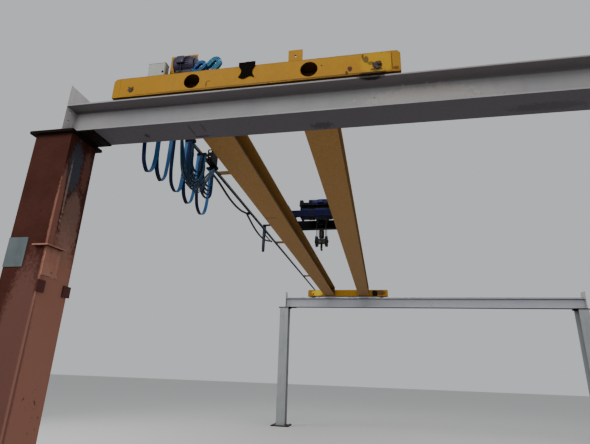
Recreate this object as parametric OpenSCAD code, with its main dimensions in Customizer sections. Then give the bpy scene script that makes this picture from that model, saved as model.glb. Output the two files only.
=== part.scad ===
// Double-girder overhead travelling crane on its own runway.
// X runs along the runways, Y along the girders, Z up. The origin is on the floor,
// in the middle of the four columns. The near row is the one at -Y.

/* [Runways] */
// Distance between the centre lines of the two runways
span = 11600; // [8000:50:16000]
// Distance between the two columns of a row
bay = 9080; // [7000:10:12000]
// How far the near row stands towards +X of the far row
row_shift = 345; // [0:5:500]
// Height of the runway beams' underside above the floor
runway_under = 3650; // [2800:10:6000]
// Depth of the runway beam section
run_h = 290; // [240:5:400]
// Flange width of the runway beam
run_b = 300; // [200:5:320]
// Flange thickness of the runway beam
run_tf = 14; // [10:0.5:22]
// Web thickness of the runway beam
run_tw = 8.5; // [6:0.5:14]
// Root radius between web and flange
run_r = 27; // [10:1:30]
// Distance from the left column's centre to the beam's left end
beam_left = 25; // [5:5:60]
// Distance from the right column's centre to the beam's right end
beam_right = 135; // [60:5:160]
// Thickness of the end plates that close and stop the runway
stop_t = 15; // [10:1:25]
// Height of the end plates above the top flange
stop_rise = 216; // [180:2:240]
// Radius of the end plates' bolt holes
stop_hole_r = 11; // [7:0.5:14]
// Spacing of the end plates' bolt holes along Y
stop_hole_y = 190; // [120:5:220]
// Spacing of the end plates' bolt holes along Z
stop_hole_z = 96; // [60:2:120]
// Width of the crane rail
rail_w = 50; // [40:1:60]
// Height of the crane rail
rail_h = 40; // [30:1:50]

/* [Columns] */
// Width of the near columns along X
near_col_w = 370; // [300:5:400]
// Depth of the near columns along Y
near_col_d = 350; // [300:5:400]
// Wall of the near columns
near_col_t = 10; // [6:1:16]
// Flange width of the far columns
far_col_b = 280; // [220:5:320]
// Depth of the far columns along Y
far_col_h = 350; // [280:5:400]
// Flange thickness of the far columns
far_col_tf = 17; // [10:0.5:24]
// Web thickness of the far columns
far_col_tw = 10; // [6:0.5:16]
// Side of the near columns' square cap plate
near_cap = 440; // [420:5:500]
// Side of the far columns' square cap plate
far_cap = 370; // [360:5:450]
// Thickness of the cap plates
cap_t = 25; // [12:1:40]
// Thickness of the seat plates between cap and beam
seat_t = 12; // [6:1:20]
// Length of the seat plates
seat_len = 340; // [300:5:380]
// Side of the square base plates
base_side = 560; // [520:5:700]
// Thickness of the base plates
base_t = 25; // [15:1:40]
// Spacing of the anchor bolt holes
anchor_pitch = 470; // [450:5:600]
// Radius of the anchor bolt holes
anchor_r = 13; // [8:0.5:18]

/* [End carriages] */
// Place of the end carriages' middle along X
bridge_x = -2600; // [-2900:10:2900]
// Length of the end carriages
car_len = 2640; // [2200:10:3200]
// Width of the end carriages
car_w = 180; // [160:2:220]
// Height of the end carriages
car_h = 207; // [190:1:260]
// Plate thickness of the end carriages
car_t = 8; // [5:0.5:12]
// Gap between the runway's top flange and the carriage's underside
car_gap = 69; // [60:1:90]
// Length of the closing boxes at the carriages' ends
end_box = 62; // [50:1:100]
// Room between a wheel's flange and the closing box's wall
wheel_room = 5; // [5:1:40]
// Tread diameter of the travel wheels
wheel_d = 200; // [180:2:220]
// Height of the wheel flanges over the tread
wheel_lip = 10; // [8:1:14]
// Thickness of each wheel flange
lip_t = 11; // [8:1:14]
// Radius of the wheel axles
axle_r = 22.5; // [15:0.5:30]
// Radius of the access holes in the carriages' outer faces
access_r = 76; // [50:1:85]
// Distance between the two access holes
access_gap = 1080; // [900:5:1200]
// How far the access holes' middle stands towards +X of the carriage's middle
access_shift = 10; // [-60:5:60]

/* [Girders] */
// Distance between the centre lines of the two girders
girder_gap = 1120; // [1000:5:1300]
// How far the girders' middle stands towards +X of the carriages' middle
girder_shift = -20; // [-60:5:60]
// Depth of the girders
gir_h = 300; // [260:5:360]
// Flange width of the girders
gir_b = 340; // [260:5:380]
// Flange thickness of the girders
gir_tf = 20; // [12:1:30]
// Web thickness of the girders
gir_tw = 12; // [8:1:20]
// Thickness of the plates that bolt the girders to the carriages
gir_plate_t = 15; // [10:1:25]
// Width of the trolley rails
trail_w = 40; // [30:1:50]
// Height of the trolley rails
trail_h = 30; // [20:1:40]

/* [Trolley] */
// Place of the trolley's middle along Y
trolley_y = -925; // [-3000:5:3000]
// Length of the trolley's side frames
side_len = 1240; // [1100:10:1500]
// Height of the trolley's side plates
side_h = 150; // [120:5:200]
// Thickness of the trolley's side plates
side_t = 10; // [6:1:16]
// Distance between the trolley's wheel axles
trolley_base = 900; // [800:10:1000]
// Tread diameter of the trolley wheels
twheel_d = 160; // [140:2:180]
// Height of the trolley wheels' flanges over the tread
twheel_lip = 10; // [6:1:12]
// Thickness of each trolley wheel flange
tlip_t = 9; // [6:1:12]
// Radius of the trolley wheel axles
taxle_r = 17.5; // [12:0.5:22]
// Radius of the rope drum
drum_r = 110; // [90:1:120]
// Distance of the drum and the hook from the middle between the girders
hoist_shift = 30; // [-60:5:60]
// Radius of the drum's end discs
drum_disc_r = 132; // [124:1:140]
// Length of the rope drum between its end discs
drum_len = 640; // [560:5:680]
// Radius of the wire rope
rope_r = 6; // [4:0.5:8]
// Radius of the block's sheaves
sheave_r = 104; // [90:1:110]
// Distance between the block's two sheaves
sheave_gap = 172; // [160:2:240]
// Depth of the sheaves' rope groove
groove = 10; // [6:1:14]
// Height of the block's axle above the floor
block_z = 4000; // [3000:10:4050]

/* [Festoon] */
// Distance of the festoon track from the left girder's middle
track_out = 520; // [400:5:560]
// Width of the festoon track
track_w = 32; // [26:1:44]
// Height of the festoon track
track_h = 32; // [26:1:38]
// Wall of the festoon track
track_t = 3; // [2:0.5:4]
// Number of arms that carry the festoon track
arms = 3; // [1:2:5]
// Distance between the arms along the track
arm_pitch = 3620; // [2600:10:4200]
// Width of the flat festoon cable
flat_w = 44; // [24:1:56]
// Thickness of the flat festoon cable
flat_t = 7; // [5:0.5:9]
// Radius of the round cable that leads to the trolley
lead_r = 13; // [6:0.5:16]

/* [Hidden] */
$fn = 48;

// Gap between a wheel's tread and its rail
roll_gap = 0.3;
// Radial clearance between an axle and what turns or sits on it
axle_fit = 0.05;
// Sideways clearance between a rail and a wheel flange
lip_gap = 5;

near_y = -span / 2;
far_y = span / 2;
near_left_x = -bay / 2 + row_shift / 2;
near_right_x = bay / 2 + row_shift / 2;
far_left_x = -bay / 2 - row_shift / 2;
far_right_x = bay / 2 - row_shift / 2;
beam_len = bay - beam_left + beam_right;
run_top = runway_under + run_h;
rail_top = run_top + rail_h;
cap_top = runway_under - seat_t;
col_top = cap_top - cap_t;
car_under = run_top + car_gap;
car_top = car_under + car_h;
wheel_z = rail_top + wheel_d / 2 + roll_gap;
wheel_w = rail_w + 2 * lip_gap + 2 * lip_t;
wheel_base = car_len - 2 * (end_box + car_t + wheel_room + wheel_d / 2 + wheel_lip);
crab_x = bridge_x + girder_shift;
hoist_x = crab_x + hoist_shift;
left_x = crab_x - girder_gap / 2;
right_x = crab_x + girder_gap / 2;
gir_top = car_under + gir_h;
gir_y0 = near_y + car_w / 2;
gir_y1 = far_y - car_w / 2;
trail_top = gir_top + trail_h;
twheel_z = trail_top + twheel_d / 2 + roll_gap;
twheel_w = trail_w + 2 * lip_gap + 2 * tlip_t;
side_gap = twheel_w / 2 + 6;
side_z = trail_top + 45;
side_out = side_gap + side_t;
drum_z = side_z + 106;
hook_y = trolley_y;
fall_y = sheave_r - groove + rope_r + roll_gap;
drum_y = hook_y - fall_y - rope_r - roll_gap - drum_r;
track_x = left_x - track_out;
track_under = car_top;
track_top = track_under + track_h;

function row_y(k) = k == 0 ? near_y : far_y;
function col_x(k, side) = k == 0 ? (side == 0 ? near_left_x : near_right_x)
                                 : (side == 0 ? far_left_x : far_right_x);
function beam_x0(k) = col_x(k, 0) + beam_left;

// Shared shapes

module box(x0, x1, y0, y1, z0, z1) {
  translate([x0, y0, z0]) cube([x1 - x0, y1 - y0, z1 - z0]);
}

module bar_x(r, len, r_bore = 0) {
  rotate([0, 90, 0]) {
    difference() {
      cylinder(r = r, h = len, center = true);
      if (r_bore > 0) cylinder(r = r_bore, h = len + 2, center = true);
    }
  }
}

module bar_y(r, len) {
  rotate([90, 0, 0]) cylinder(r = r, h = len, center = true);
}

// I section with its web upright, centred on the origin
module i_section(h, b, tf, tw, r) {
  difference() {
    square([b, h], center = true);
    for (s = [-1, 1]) {
      translate([s * (tw / 2 + b / 2), 0])
        difference() {
          square([b, h - 2 * tf], center = true);
          for (v = [-1, 1])
            translate([-s * b / 2, v * (h / 2 - tf)])
              difference() {
                square([2 * r, 2 * r], center = true);
                translate([s * r, -v * r]) circle(r = r);
              }
        }
    }
  }
}

module beam_along_x(x0, len, y, z_mid, h, b, tf, tw, r) {
  translate([x0, y, z_mid]) rotate([90, 0, 90]) linear_extrude(len) i_section(h, b, tf, tw, r);
}

module beam_along_y(x, y0, len, z_mid, h, b, tf, tw, r) {
  translate([x, y0 + len, z_mid]) rotate([90, 0, 0]) linear_extrude(len) i_section(h, b, tf, tw, r);
}

// Columns

module near_column(side) {
  x = col_x(0, side);
  color("#6f463c")
    translate([x, near_y, base_t])
      linear_extrude(col_top - base_t)
        difference() {
          square([near_col_w, near_col_d], center = true);
          square([near_col_w - 2 * near_col_t, near_col_d - 2 * near_col_t], center = true);
        }
}

module far_column(side) {
  color("#a9abb4")
    translate([col_x(1, side), far_y, base_t])
      linear_extrude(col_top - base_t)
        i_section(far_col_h, far_col_b, far_col_tf, far_col_tw, run_r);
}

module near_columns() {
  for (side = [0, 1]) near_column(side);
}

module far_columns() {
  for (side = [0, 1]) far_column(side);
}

module base_plates() {
  color("#5e5e62")
    for (k = [0, 1], side = [0, 1])
      translate([col_x(k, side), row_y(k), 0])
        difference() {
          translate([-base_side / 2, -base_side / 2, 0]) cube([base_side, base_side, base_t]);
          for (i = [-1, 1], j = [-1, 1])
            translate([i * anchor_pitch / 2, j * anchor_pitch / 2, -1])
              cylinder(r = anchor_r, h = base_t + 2);
        }
}

module cap_plates() {
  color("#4c4a4e")
    for (k = [0, 1], side = [0, 1]) {
      s = k == 0 ? near_cap : far_cap;
      translate([col_x(k, side) - s / 2, row_y(k) - s / 2, col_top]) cube([s, s, cap_t]);
    }
}

module seat_plates() {
  color("#55535a")
    for (k = [0, 1]) {
      x0 = beam_x0(k);
      x1 = x0 + beam_len;
      box(x0, x0 + seat_len, row_y(k) - run_b / 2, row_y(k) + run_b / 2, cap_top, runway_under);
      box(x1 - seat_len, x1, row_y(k) - run_b / 2, row_y(k) + run_b / 2, cap_top, runway_under);
    }
}

// Fittings on the near left column
cleat_z = 2560;
cleat_out = 45;
cleat_t = 12;
cleat_w = 175;
cleat_leg = 235;
cleat_lap = 104;
lug_w = 90;
lug_h = 95;
lug_t = 12;
lug_over = 25;
lug_z = 2190;

module column_cleat() {
  face = near_left_x + near_col_w / 2;
  front = near_y - near_col_d / 2;
  color("#453a3c") {
    box(face, face + cleat_out, front - cleat_out, front + cleat_w, cleat_z, cleat_z + cleat_t);
    box(face - cleat_lap, face, front - cleat_out, front, cleat_z, cleat_z + cleat_t);
    box(face, face + cleat_t / 2, front, front + cleat_w, cleat_z - cleat_leg, cleat_z);
  }
}

module column_lugs() {
  face = near_left_x + near_col_w / 2;
  color("#4a2a26")
    for (s = [-1, 1]) {
      y = near_y + s * (near_col_d / 2 + lug_over - lug_w / 2);
      box(face, face + lug_t, y - lug_w / 2, y + lug_w / 2, lug_z, lug_z + lug_h);
    }
}

plate_w = 185;
plate_h = 250;
plate_t = 8;
plate_z = 2390;

module column_side_plate() {
  face = near_y - near_col_d / 2;
  x0 = near_left_x - near_col_w / 2;
  color("#6c6e7c") box(x0, x0 + plate_w, face - plate_t, face, plate_z, plate_z + plate_h);
}

// Runways

module runway(k) {
  color("#9fa1ab")
    beam_along_x(beam_x0(k) + stop_t, beam_len - 2 * stop_t, row_y(k), runway_under + run_h / 2,
      run_h, run_b, run_tf, run_tw, run_r);
}

module near_runway() { runway(0); }
module far_runway() { runway(1); }

module rail(k) {
  color("#8d8f98")
    box(beam_x0(k) + stop_t, beam_x0(k) + beam_len - stop_t, row_y(k) - rail_w / 2, row_y(k) + rail_w / 2,
      run_top, rail_top);
}

module crane_rails() {
  for (k = [0, 1]) rail(k);
}

stop_hole_mid = runway_under + 196;

module end_stops() {
  color("#77777f")
    for (k = [0, 1], x = [beam_x0(k), beam_x0(k) + beam_len - stop_t])
      difference() {
        box(x, x + stop_t, row_y(k) - run_b / 2, row_y(k) + run_b / 2, runway_under, run_top + stop_rise);
        for (i = [-1, 1], j = [-1, 1])
          translate([x + stop_t / 2, row_y(k) + i * stop_hole_y / 2, stop_hole_mid + j * stop_hole_z / 2])
            bar_x(stop_hole_r, stop_t + 2);
      }
}

// End carriages

module carriage(k) {
  y = row_y(k);
  out = k == 0 ? -1 : 1;
  x0 = bridge_x - car_len / 2 + end_box;
  x1 = bridge_x + car_len / 2 - end_box;
  slot = wheel_d + 2 * wheel_lip + 20;
  color("#b8892a")
    difference() {
      box(x0, x1, y - car_w / 2, y + car_w / 2, car_under, car_top);
      box(x0 + car_t, x1 - car_t, y - car_w / 2 + car_t, y + car_w / 2 - car_t, car_under + car_t,
        car_top - car_t);
      for (s = [-1, 1]) {
        wx = bridge_x + s * wheel_base / 2;
        box(wx - slot / 2, wx + slot / 2, y - wheel_w / 2 - 6, y + wheel_w / 2 + 6, car_under - 1,
          car_under + car_t + 1);
        translate([wx, y, wheel_z]) bar_y(axle_r + axle_fit, car_w + 2);
        translate([bridge_x + access_shift + s * access_gap / 2, y + out * car_w / 2,
          car_under + car_h / 2]) bar_y(access_r, 3 * car_t);
      }
    }
}

module near_carriage() { carriage(0); }
module far_carriage() { carriage(1); }

end_cut = 26;

module carriage_ends() {
  color("#b38428")
    for (k = [0, 1], s = [-1, 1])
      translate([bridge_x + s * (car_len / 2 - end_box), row_y(k) + car_w / 2, car_under])
        rotate([90, 0, 0])
          linear_extrude(car_w)
            polygon([[0, 0], [s * end_box, 0], [s * end_box, car_h - end_cut],
              [s * (end_box - end_cut), car_h], [0, car_h]]);
}

axle_stub = 9;

module travel_axles() {
  color("#5a5048")
    for (k = [0, 1], s = [-1, 1])
      translate([bridge_x + s * wheel_base / 2, row_y(k), wheel_z]) bar_y(axle_r, car_w + 2 * axle_stub);
}

seam = 0.2;

// A tread ring between two flange rings, a hair apart
module flanged_wheel(tread_r, lip, lip_thick, width, bore) {
  for (p = [[tread_r, width - 2 * (lip_thick + seam), 0],
            [tread_r + lip, lip_thick, (width - lip_thick) / 2],
            [tread_r + lip, lip_thick, (lip_thick - width) / 2]])
    translate([0, 0, p[2]])
      difference() {
        cylinder(r = p[0], h = p[1], center = true, $fn = 72);
        cylinder(r = bore, h = p[1] + 2, center = true);
      }
}

module travel_wheels(s) {
  color("#7a5a3c")
    for (k = [0, 1])
    translate([bridge_x + s * wheel_base / 2, row_y(k), wheel_z])
      rotate([90, 0, 0]) flanged_wheel(wheel_d / 2, wheel_lip, lip_t, wheel_w, axle_r + axle_fit);
}

module left_travel_wheels() { travel_wheels(-1); }
module right_travel_wheels() { travel_wheels(1); }

// Girders

module girder(x) {
  color("#7d5c33")
    beam_along_y(x, gir_y0 + gir_plate_t, gir_y1 - gir_y0 - 2 * gir_plate_t, car_under + gir_h / 2,
      gir_h, gir_b, gir_tf, gir_tw, run_r);
}

module left_girder() { girder(left_x); }
module right_girder() { girder(right_x); }

module girder_end_plates() {
  color("#86632f")
    for (x = [left_x, right_x], y = [gir_y0, gir_y1 - gir_plate_t])
      box(x - gir_b / 2, x + gir_b / 2, y, y + gir_plate_t, car_under, gir_top);
}

module trolley_rails() {
  color("#8a7a5c")
    for (x = [left_x, right_x])
      box(x - trail_w / 2, x + trail_w / 2, gir_y0 + gir_plate_t, gir_y1 - gir_plate_t, gir_top, trail_top);
}

bracket_t = 14;
bracket_y = 20;
gusset_len = 140;
gusset_h = 120;
left_bracket_w = 275;
left_bracket_h = 275;
left_bracket_out = 300;
right_bracket_w = 135;
right_bracket_h = 195;
right_bracket_out = 222;
bracket_hole_r = 12;
bracket_hole_drop = 70;

module left_end_bracket() {
  x0 = left_x - left_bracket_out;
  y0 = gir_y0 + bracket_y;
  gusset_x = left_x - gir_b / 2;
  color("#b39242") {
    box(x0, x0 + left_bracket_w, y0, y0 + bracket_t, gir_top, gir_top + left_bracket_h);
    box(gusset_x, gusset_x + bracket_t, y0 + bracket_t, y0 + gusset_len, gir_top, gir_top + gusset_h);
  }
}

module right_end_bracket() {
  x0 = right_x - right_bracket_out;
  y0 = gir_y0 + bracket_y;
  color("#b39242")
    difference() {
      box(x0, x0 + right_bracket_w, y0, y0 + bracket_t, gir_top, gir_top + right_bracket_h);
      translate([x0 + right_bracket_w / 2, y0, gir_top + right_bracket_h - bracket_hole_drop])
        bar_y(bracket_hole_r, 4 * bracket_t);
    }
}

// What stands on and by the carriages

box_w = 175;
box_d = 65;
box_h = 214;
box_out = 1043;
motor_out = 640;
motor_len = 190;
motor_body_r = 92;
motor_rise = 42;
motor_foot_w = 160;
motor_foot_d = 120;
motor_foot_h = 56;

module control_box() {
  x0 = bridge_x - box_out;
  color("#b9bec0") box(x0, x0 + box_w, near_y, near_y + box_d, car_top, car_top + box_h);
}

module near_travel_motor() {
  x = bridge_x - motor_out;
  color("#3a3354") {
    translate([x, near_y, car_top + motor_rise + motor_body_r]) bar_x(motor_body_r, motor_len);
    box(x - motor_foot_w / 2, x + motor_foot_w / 2, near_y - motor_foot_d / 2, near_y + motor_foot_d / 2,
      car_top, car_top + motor_foot_h);
  }
}

far_motor_r = 62;
far_motor_len = 200;
far_motor_out = 190;
far_motor_y = 130;
far_motor_z = 95;
far_foot = 150;
far_foot_t = 30;
far_foot_h = 160;

module far_travel_motor() {
  x = right_x + gir_b / 2 + far_motor_out;
  z = car_under + far_motor_z;
  color("#24242c") {
    translate([x, gir_y1 - far_motor_y, z]) bar_y(far_motor_r, far_motor_len);
    box(x - far_foot / 2, x + far_foot / 2, gir_y1 - far_foot_t, gir_y1, z - far_foot_h / 2,
      z + far_foot_h / 2);
  }
}

// Festoon

track_lip = 8;

module festoon_track() {
  color("#41444a")
    translate([track_x, far_y, track_under + track_h / 2])
      rotate([90, 0, 0])
        linear_extrude(span)
          difference() {
            square([track_w, track_h], center = true);
            square([track_w - 2 * track_t, track_h - 2 * track_t], center = true);
            translate([-track_w / 2 + track_lip, -track_h]) square([track_w - 2 * track_lip, track_h]);
          }
}

arm_w = 40;
arm_t = 8;

module track_arms() {
  x0 = track_x - track_w / 2;
  x1 = left_x - gir_tw / 2 - run_r;
  z1 = gir_top - gir_tf;
  color("#8c7c34")
    for (i = [0 : arms - 1]) {
      y = (i - (arms - 1) / 2) * arm_pitch;
      box(x0, x1, y - arm_w / 2, y + arm_w / 2, track_top, track_top + arm_t);
      box(x0, x1, y - arm_w / 2, y - arm_w / 2 + arm_t, track_top + arm_t, z1);
    }
}

// Places of the carriers along the track from its near end, each at the top of a pair of loops
carrier_at = [for (d = [215, 466, 747, 1095, 1455, 1850]) near_y + d];
carrier_l = 52;
saddle_z0 = track_under - 46;
saddle_z1 = track_under - 12;
saddle_out = 22;
saddle_in = 100;
slider_w = 22;
slider_gap = 4;
stem_w = 12;

// Slider in the track, and the stem that hangs from it through the slot
module slider(y) {
  box(track_x - slider_w / 2, track_x + slider_w / 2, y - carrier_l / 2, y + carrier_l / 2,
    track_under + track_t, track_top - track_t - slider_gap);
  box(track_x - stem_w / 2, track_x + stem_w / 2, y - carrier_l / 4, y + carrier_l / 4,
    saddle_z1, track_under + track_t);
}

module festoon_carriers() {
  color("#2e2a2a")
    for (y = carrier_at) {
      slider(y);
      box(track_x - saddle_out, track_x + saddle_in, y - carrier_l / 2, y + carrier_l / 2, saddle_z0,
        saddle_z1);
    }
}

// The round lead hangs beside the track, clear of what runs in it
lead_x = track_x - 39;
lead_gap = 0.3;
runner_y = near_y + 3670;

module festoon_runner() {
  color("#2e2a2a") {
    slider(runner_y);
    box(lead_x + lead_r + lead_gap, track_x + stem_w, runner_y - carrier_l / 2, runner_y + carrier_l / 2,
      saddle_z0, saddle_z1);
  }
}

junction_y0 = near_y + 1660;
junction_l = 180;
junction_h = 170;
junction_w = 70;
junction_in = 22;

// Box beside the track, on a strap from the last carrier, which also holds the lead's start
module junction_box() {
  y = carrier_at[len(carrier_at) - 1];
  x0 = track_x + junction_in;
  color("#2a1f1c") {
    box(x0, x0 + junction_w, junction_y0, junction_y0 + junction_l, saddle_z1, saddle_z1 + junction_h);
    box(lead_x + lead_r + lead_gap, track_x - saddle_out, y - carrier_l / 2, y + carrier_l / 2,
      saddle_z0, saddle_z1);
  }
}

// Hanging cables

// Ring of a flat cable's section at a point, width along X, turned to the run's slope a in the YZ plane
function flat_ring(x, p, a, w, t) =
  [for (c = [[-w / 2, -t / 4], [-w / 2 + t / 3, -t / 2], [w / 2 - t / 3, -t / 2], [w / 2, -t / 4],
             [w / 2, t / 4], [w / 2 - t / 3, t / 2], [-w / 2 + t / 3, t / 2], [-w / 2, t / 4]])
    [x + c[0], p[0] - c[1] * sin(a), p[1] + c[1] * cos(a)]];

// Ring of a round cable's section at a point, in the plane across the run's slope
function round_ring(x, p, a, r) =
  [for (i = [0 : 7]) [x + r * cos(45 * i), p[0] - r * sin(45 * i) * sin(a), p[1] + r * sin(45 * i) * cos(a)]];

// Slope of a route in the YZ plane at point i
function slope(pts, i) =
  let (a = pts[max(i - 1, 0)], b = pts[min(i + 1, len(pts) - 1)]) atan2(b[1] - a[1], b[0] - a[0]);

module tube(rings) {
  n = len(rings);
  k = len(rings[0]);
  polyhedron(
    points = [for (r = rings) each r],
    faces = concat(
      [[for (j = [0 : k - 1]) j]],
      [for (i = [0 : n - 2], j = [0 : k - 1])
        [i * k + j, (i + 1) * k + j, (i + 1) * k + (j + 1) % k, i * k + (j + 1) % k]],
      [[for (j = [k - 1 : -1 : 0]) (n - 1) * k + j]]));
}

// Flat cable that leaves its first holder straight down and reaches its last straight up
module flat_cable(x, pts) {
  last = len(pts) - 1;
  tube([for (i = [0 : last]) flat_ring(x, pts[i], i == 0 ? -90 : i == last ? 90 : slope(pts, i),
    flat_w, flat_t)]);
}

module round_cable(x, pts, r) {
  tube([for (i = [0 : len(pts) - 1]) round_ring(x, pts[i], slope(pts, i), r)]);
}

// Routes of the five long loops between carriers, as the way along the track and the height
loop_routes = [
  [[232, 0], [224, -170], [220, -370], [230, -550], [265, -670], [338, -730],
   [415, -670], [450, -550], [456, -370], [454, -170], [450, 0]],
  [[482, 0], [474, -170], [469, -370], [484, -550], [530, -660], [610, -708],
   [675, -640], [702, -510], [710, -350], [716, -170], [730, 0]],
  [[764, 0], [778, -170], [786, -370], [800, -530], [845, -645], [945, -692],
   [1035, -635], [1068, -520], [1078, -350], [1080, -170], [1079, 0]],
  [[1111, 0], [1110, -170], [1110, -370], [1125, -540], [1175, -660], [1265, -708],
   [1355, -650], [1400, -530], [1418, -350], [1426, -170], [1438, 0]],
  [[1472, 0], [1484, -170], [1490, -370], [1505, -530], [1560, -650], [1670, -702],
   [1775, -645], [1825, -520], [1845, -350], [1852, -170], [1855, 0]]];

module festoon_loops() {
  color("#2f62a8")
    for (route = loop_routes) flat_cable(track_x, [for (p = route) [near_y + p[0], saddle_z0 + p[1]]]);
}

bunch_x0 = 24;
bunch_w = 72;

// Close-hung short loops, as one body of their outer shape
module festoon_bunch() {
  color("#1c2b58")
    translate([track_x + bunch_x0, 0, 0])
      rotate([90, 0, 90])
        linear_extrude(bunch_w)
          translate([near_y, saddle_z0])
            polygon([[1070, 0], [840, -410], [840, -490], [900, -560], [1100, -580], [1320, -570],
              [1520, -530], [1640, -450], [1740, -270], [1870, 0]]);
}

// Sags of the round lead, as the way along it and the height above the saddles' undersides
lead_sags = [[0, 17], [210, 20], [390, 14], [550, -2], [730, -28], [950, -52],
  [1170, -60], [1390, -52], [1590, -30], [1740, 0], [1840, 17], [1940, 0],
  [2090, -32], [2270, -66], [2470, -92], [2670, -106], [2870, -106], [3070, -90],
  [3270, -58], [3470, -10], [3600, 26], [3680, 40]];

module festoon_lead() {
  y0 = carrier_at[len(carrier_at) - 1] - 20;
  y1 = drag_y1 - clip_l / 2;
  whole = lead_sags[len(lead_sags) - 1][0];
  color("#15161c")
    round_cable(lead_x, [for (p = lead_sags) [y0 + p[0] * (y1 - y0) / whole, saddle_z0 + p[1]]], lead_r);
}

bundle_x0 = -542;
bundle_w = 230;
bundle_d = 120;
bundle_h = 215;
bundle_round = 50;

// Gathered flat cable that stands on the near carriage
module cable_bundle() {
  x0 = bridge_x + bundle_x0;
  color("#2d6f9c")
    translate([x0, near_y + bundle_d / 2, car_top])
      rotate([90, 0, 0])
        linear_extrude(bundle_d)
          polygon([[0, 0], [0, 0.35 * bundle_h], [bundle_round, 0.62 * bundle_h], [2 * bundle_round,
            bundle_h],
            [bundle_w - bundle_round, bundle_h], [bundle_w, bundle_h - bundle_round], [bundle_w, 0]]);
}

// Trolley

front_bar_y = trolley_y - 435;
front_bar_w = 80;
front_bar_h = 110;
rear_bar_y = trolley_y + 310;
rear_bar_w = 115;
rear_bar_h = 170;
anchor_w = 250;
anchor_t = 20;
anchor_z = side_z + 90;

module trolley_frame() {
  cross_in = girder_gap / 2 - side_out;
  color("#26262c") {
    for (x = [left_x, right_x]) {
      for (s = [-1, 1])
        difference() {
          translate([x + s * (side_gap + side_t / 2) - side_t / 2, trolley_y - side_len / 2, side_z])
            cube([side_t, side_len, side_h]);
          for (e = [-1, 1])
            translate([x, trolley_y + e * trolley_base / 2, twheel_z])
              bar_x(taxle_r + axle_fit, 4 * side_out);
        }
      for (e = [-1, 1])
        translate([x - side_gap, trolley_y + e * (side_len - side_t) / 2 - side_t / 2, side_z])
          cube([2 * side_gap, side_t, side_h]);
      translate([x - side_out, trolley_y - 250, side_z + side_h]) cube([2 * side_out, 500, side_t]);
    }
    box(crab_x - cross_in, crab_x + cross_in, front_bar_y, front_bar_y + front_bar_w, side_z,
      side_z + front_bar_h);
    box(crab_x - cross_in, crab_x + cross_in, rear_bar_y, rear_bar_y + rear_bar_w, side_z - 20,
      side_z - 20 + rear_bar_h);
    box(hoist_x - anchor_w / 2, hoist_x + anchor_w / 2, hook_y + fall_y - 20, rear_bar_y, anchor_z,
      anchor_z + anchor_t);
  }
}

module trolley_axles() {
  color("#55504a")
    for (x = [left_x, right_x], e = [-1, 1])
      translate([x, trolley_y + e * trolley_base / 2, twheel_z]) bar_x(taxle_r, 2 * side_out);
}

module trolley_wheels(e) {
  color("#3c3a3a")
    for (x = [left_x, right_x])
      translate([x, trolley_y + e * trolley_base / 2, twheel_z])
        rotate([0, 90, 0]) flanged_wheel(twheel_d / 2, twheel_lip, tlip_t, twheel_w, taxle_r + axle_fit);
}

module front_trolley_wheels() { trolley_wheels(-1); }
module rear_trolley_wheels() { trolley_wheels(1); }

shaft_r = 30;
bearing_t = 24;
bearing_h = 250;

deck_t = 12;
deck_half = 395;
drum_shell = 12;

module drum_bearings() {
  inner = drum_len / 2 + 14 + 8;
  color("#23232b") {
    for (s = [-1, 1])
      difference() {
        translate([hoist_x + s * (inner + bearing_t / 2) - bearing_t / 2, front_bar_y + front_bar_w, side_z])
          cube([bearing_t, 255, bearing_h]);
        translate([hoist_x, drum_y, drum_z]) bar_x(shaft_r + axle_fit, 3 * drum_len);
      }
    box(hoist_x - deck_half, hoist_x + deck_half, drum_y - 110, drum_y + 110, side_z + bearing_h,
      side_z + bearing_h + deck_t);
  }
}

module rope_drum() {
  color("#1f2440")
    translate([hoist_x, drum_y, drum_z]) {
      bar_x(drum_r, drum_len, drum_r - drum_shell);
      for (s = [-1, 1]) translate([s * (drum_len / 2 + 7), 0, 0]) bar_x(drum_disc_r, 14);
      bar_x(shaft_r, drum_len + 28 + 2 * 8 + 2 * bearing_t);
    }
}

deck_top = side_z + bearing_h + deck_t;

module hoist_gearbox() {
  color("#1c1c26") {
    box(hoist_x - 390, hoist_x - 150, drum_y - 90, drum_y + 90, deck_top, deck_top + 50);
    box(hoist_x - 390, hoist_x - 325, drum_y - 70, drum_y + 70, deck_top + 50, deck_top + 105);
    box(hoist_x - 215, hoist_x - 150, drum_y - 70, drum_y + 70, deck_top + 50, deck_top + 105);
  }
}

motor_r = 62;

module hoist_motor() {
  color("#232a52") {
    translate([hoist_x + 5, drum_y, deck_top + 10 + motor_r]) bar_x(motor_r, 300);
    box(hoist_x - 100, hoist_x + 110, drum_y - 45, drum_y + 45, deck_top, deck_top + 40);
  }
}

tow_y = trolley_y + 185;
tow_w = 30;
tow_z = side_z + 26;
tow_x = track_x - 122;
drag_x0 = lead_x - lead_r - 12;
drag_t = 6;
drag_h = 30;
drag_y1 = trolley_y + 655;
drag_z = saddle_z0 + 25;
clip_l = 40;
hang_x = track_x - 96;
hang_clamp_h = 25;

// Arm over the track, with the bar that draws the lead's end and the clamp of the hanging cable
module tow_arm() {
  color("#2c2c30") {
    box(tow_x, left_x - side_out, tow_y - tow_w / 2, tow_y + tow_w / 2, tow_z, tow_z + tow_w);
    box(drag_x0, drag_x0 + drag_t, tow_y - tow_w / 2, tow_y + tow_w / 2, drag_z, tow_z);
    box(drag_x0, drag_x0 + drag_t, tow_y + tow_w / 2, drag_y1, drag_z, drag_z + drag_h);
    box(drag_x0 + drag_t, lead_x - lead_r - lead_gap, drag_y1 - clip_l, drag_y1, drag_z, drag_z + drag_h);
    box(tow_x, hang_x + flat_w / 2 + 3, tow_y - 40, tow_y + 40, tow_z - hang_clamp_h, tow_z);
  }
}

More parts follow.
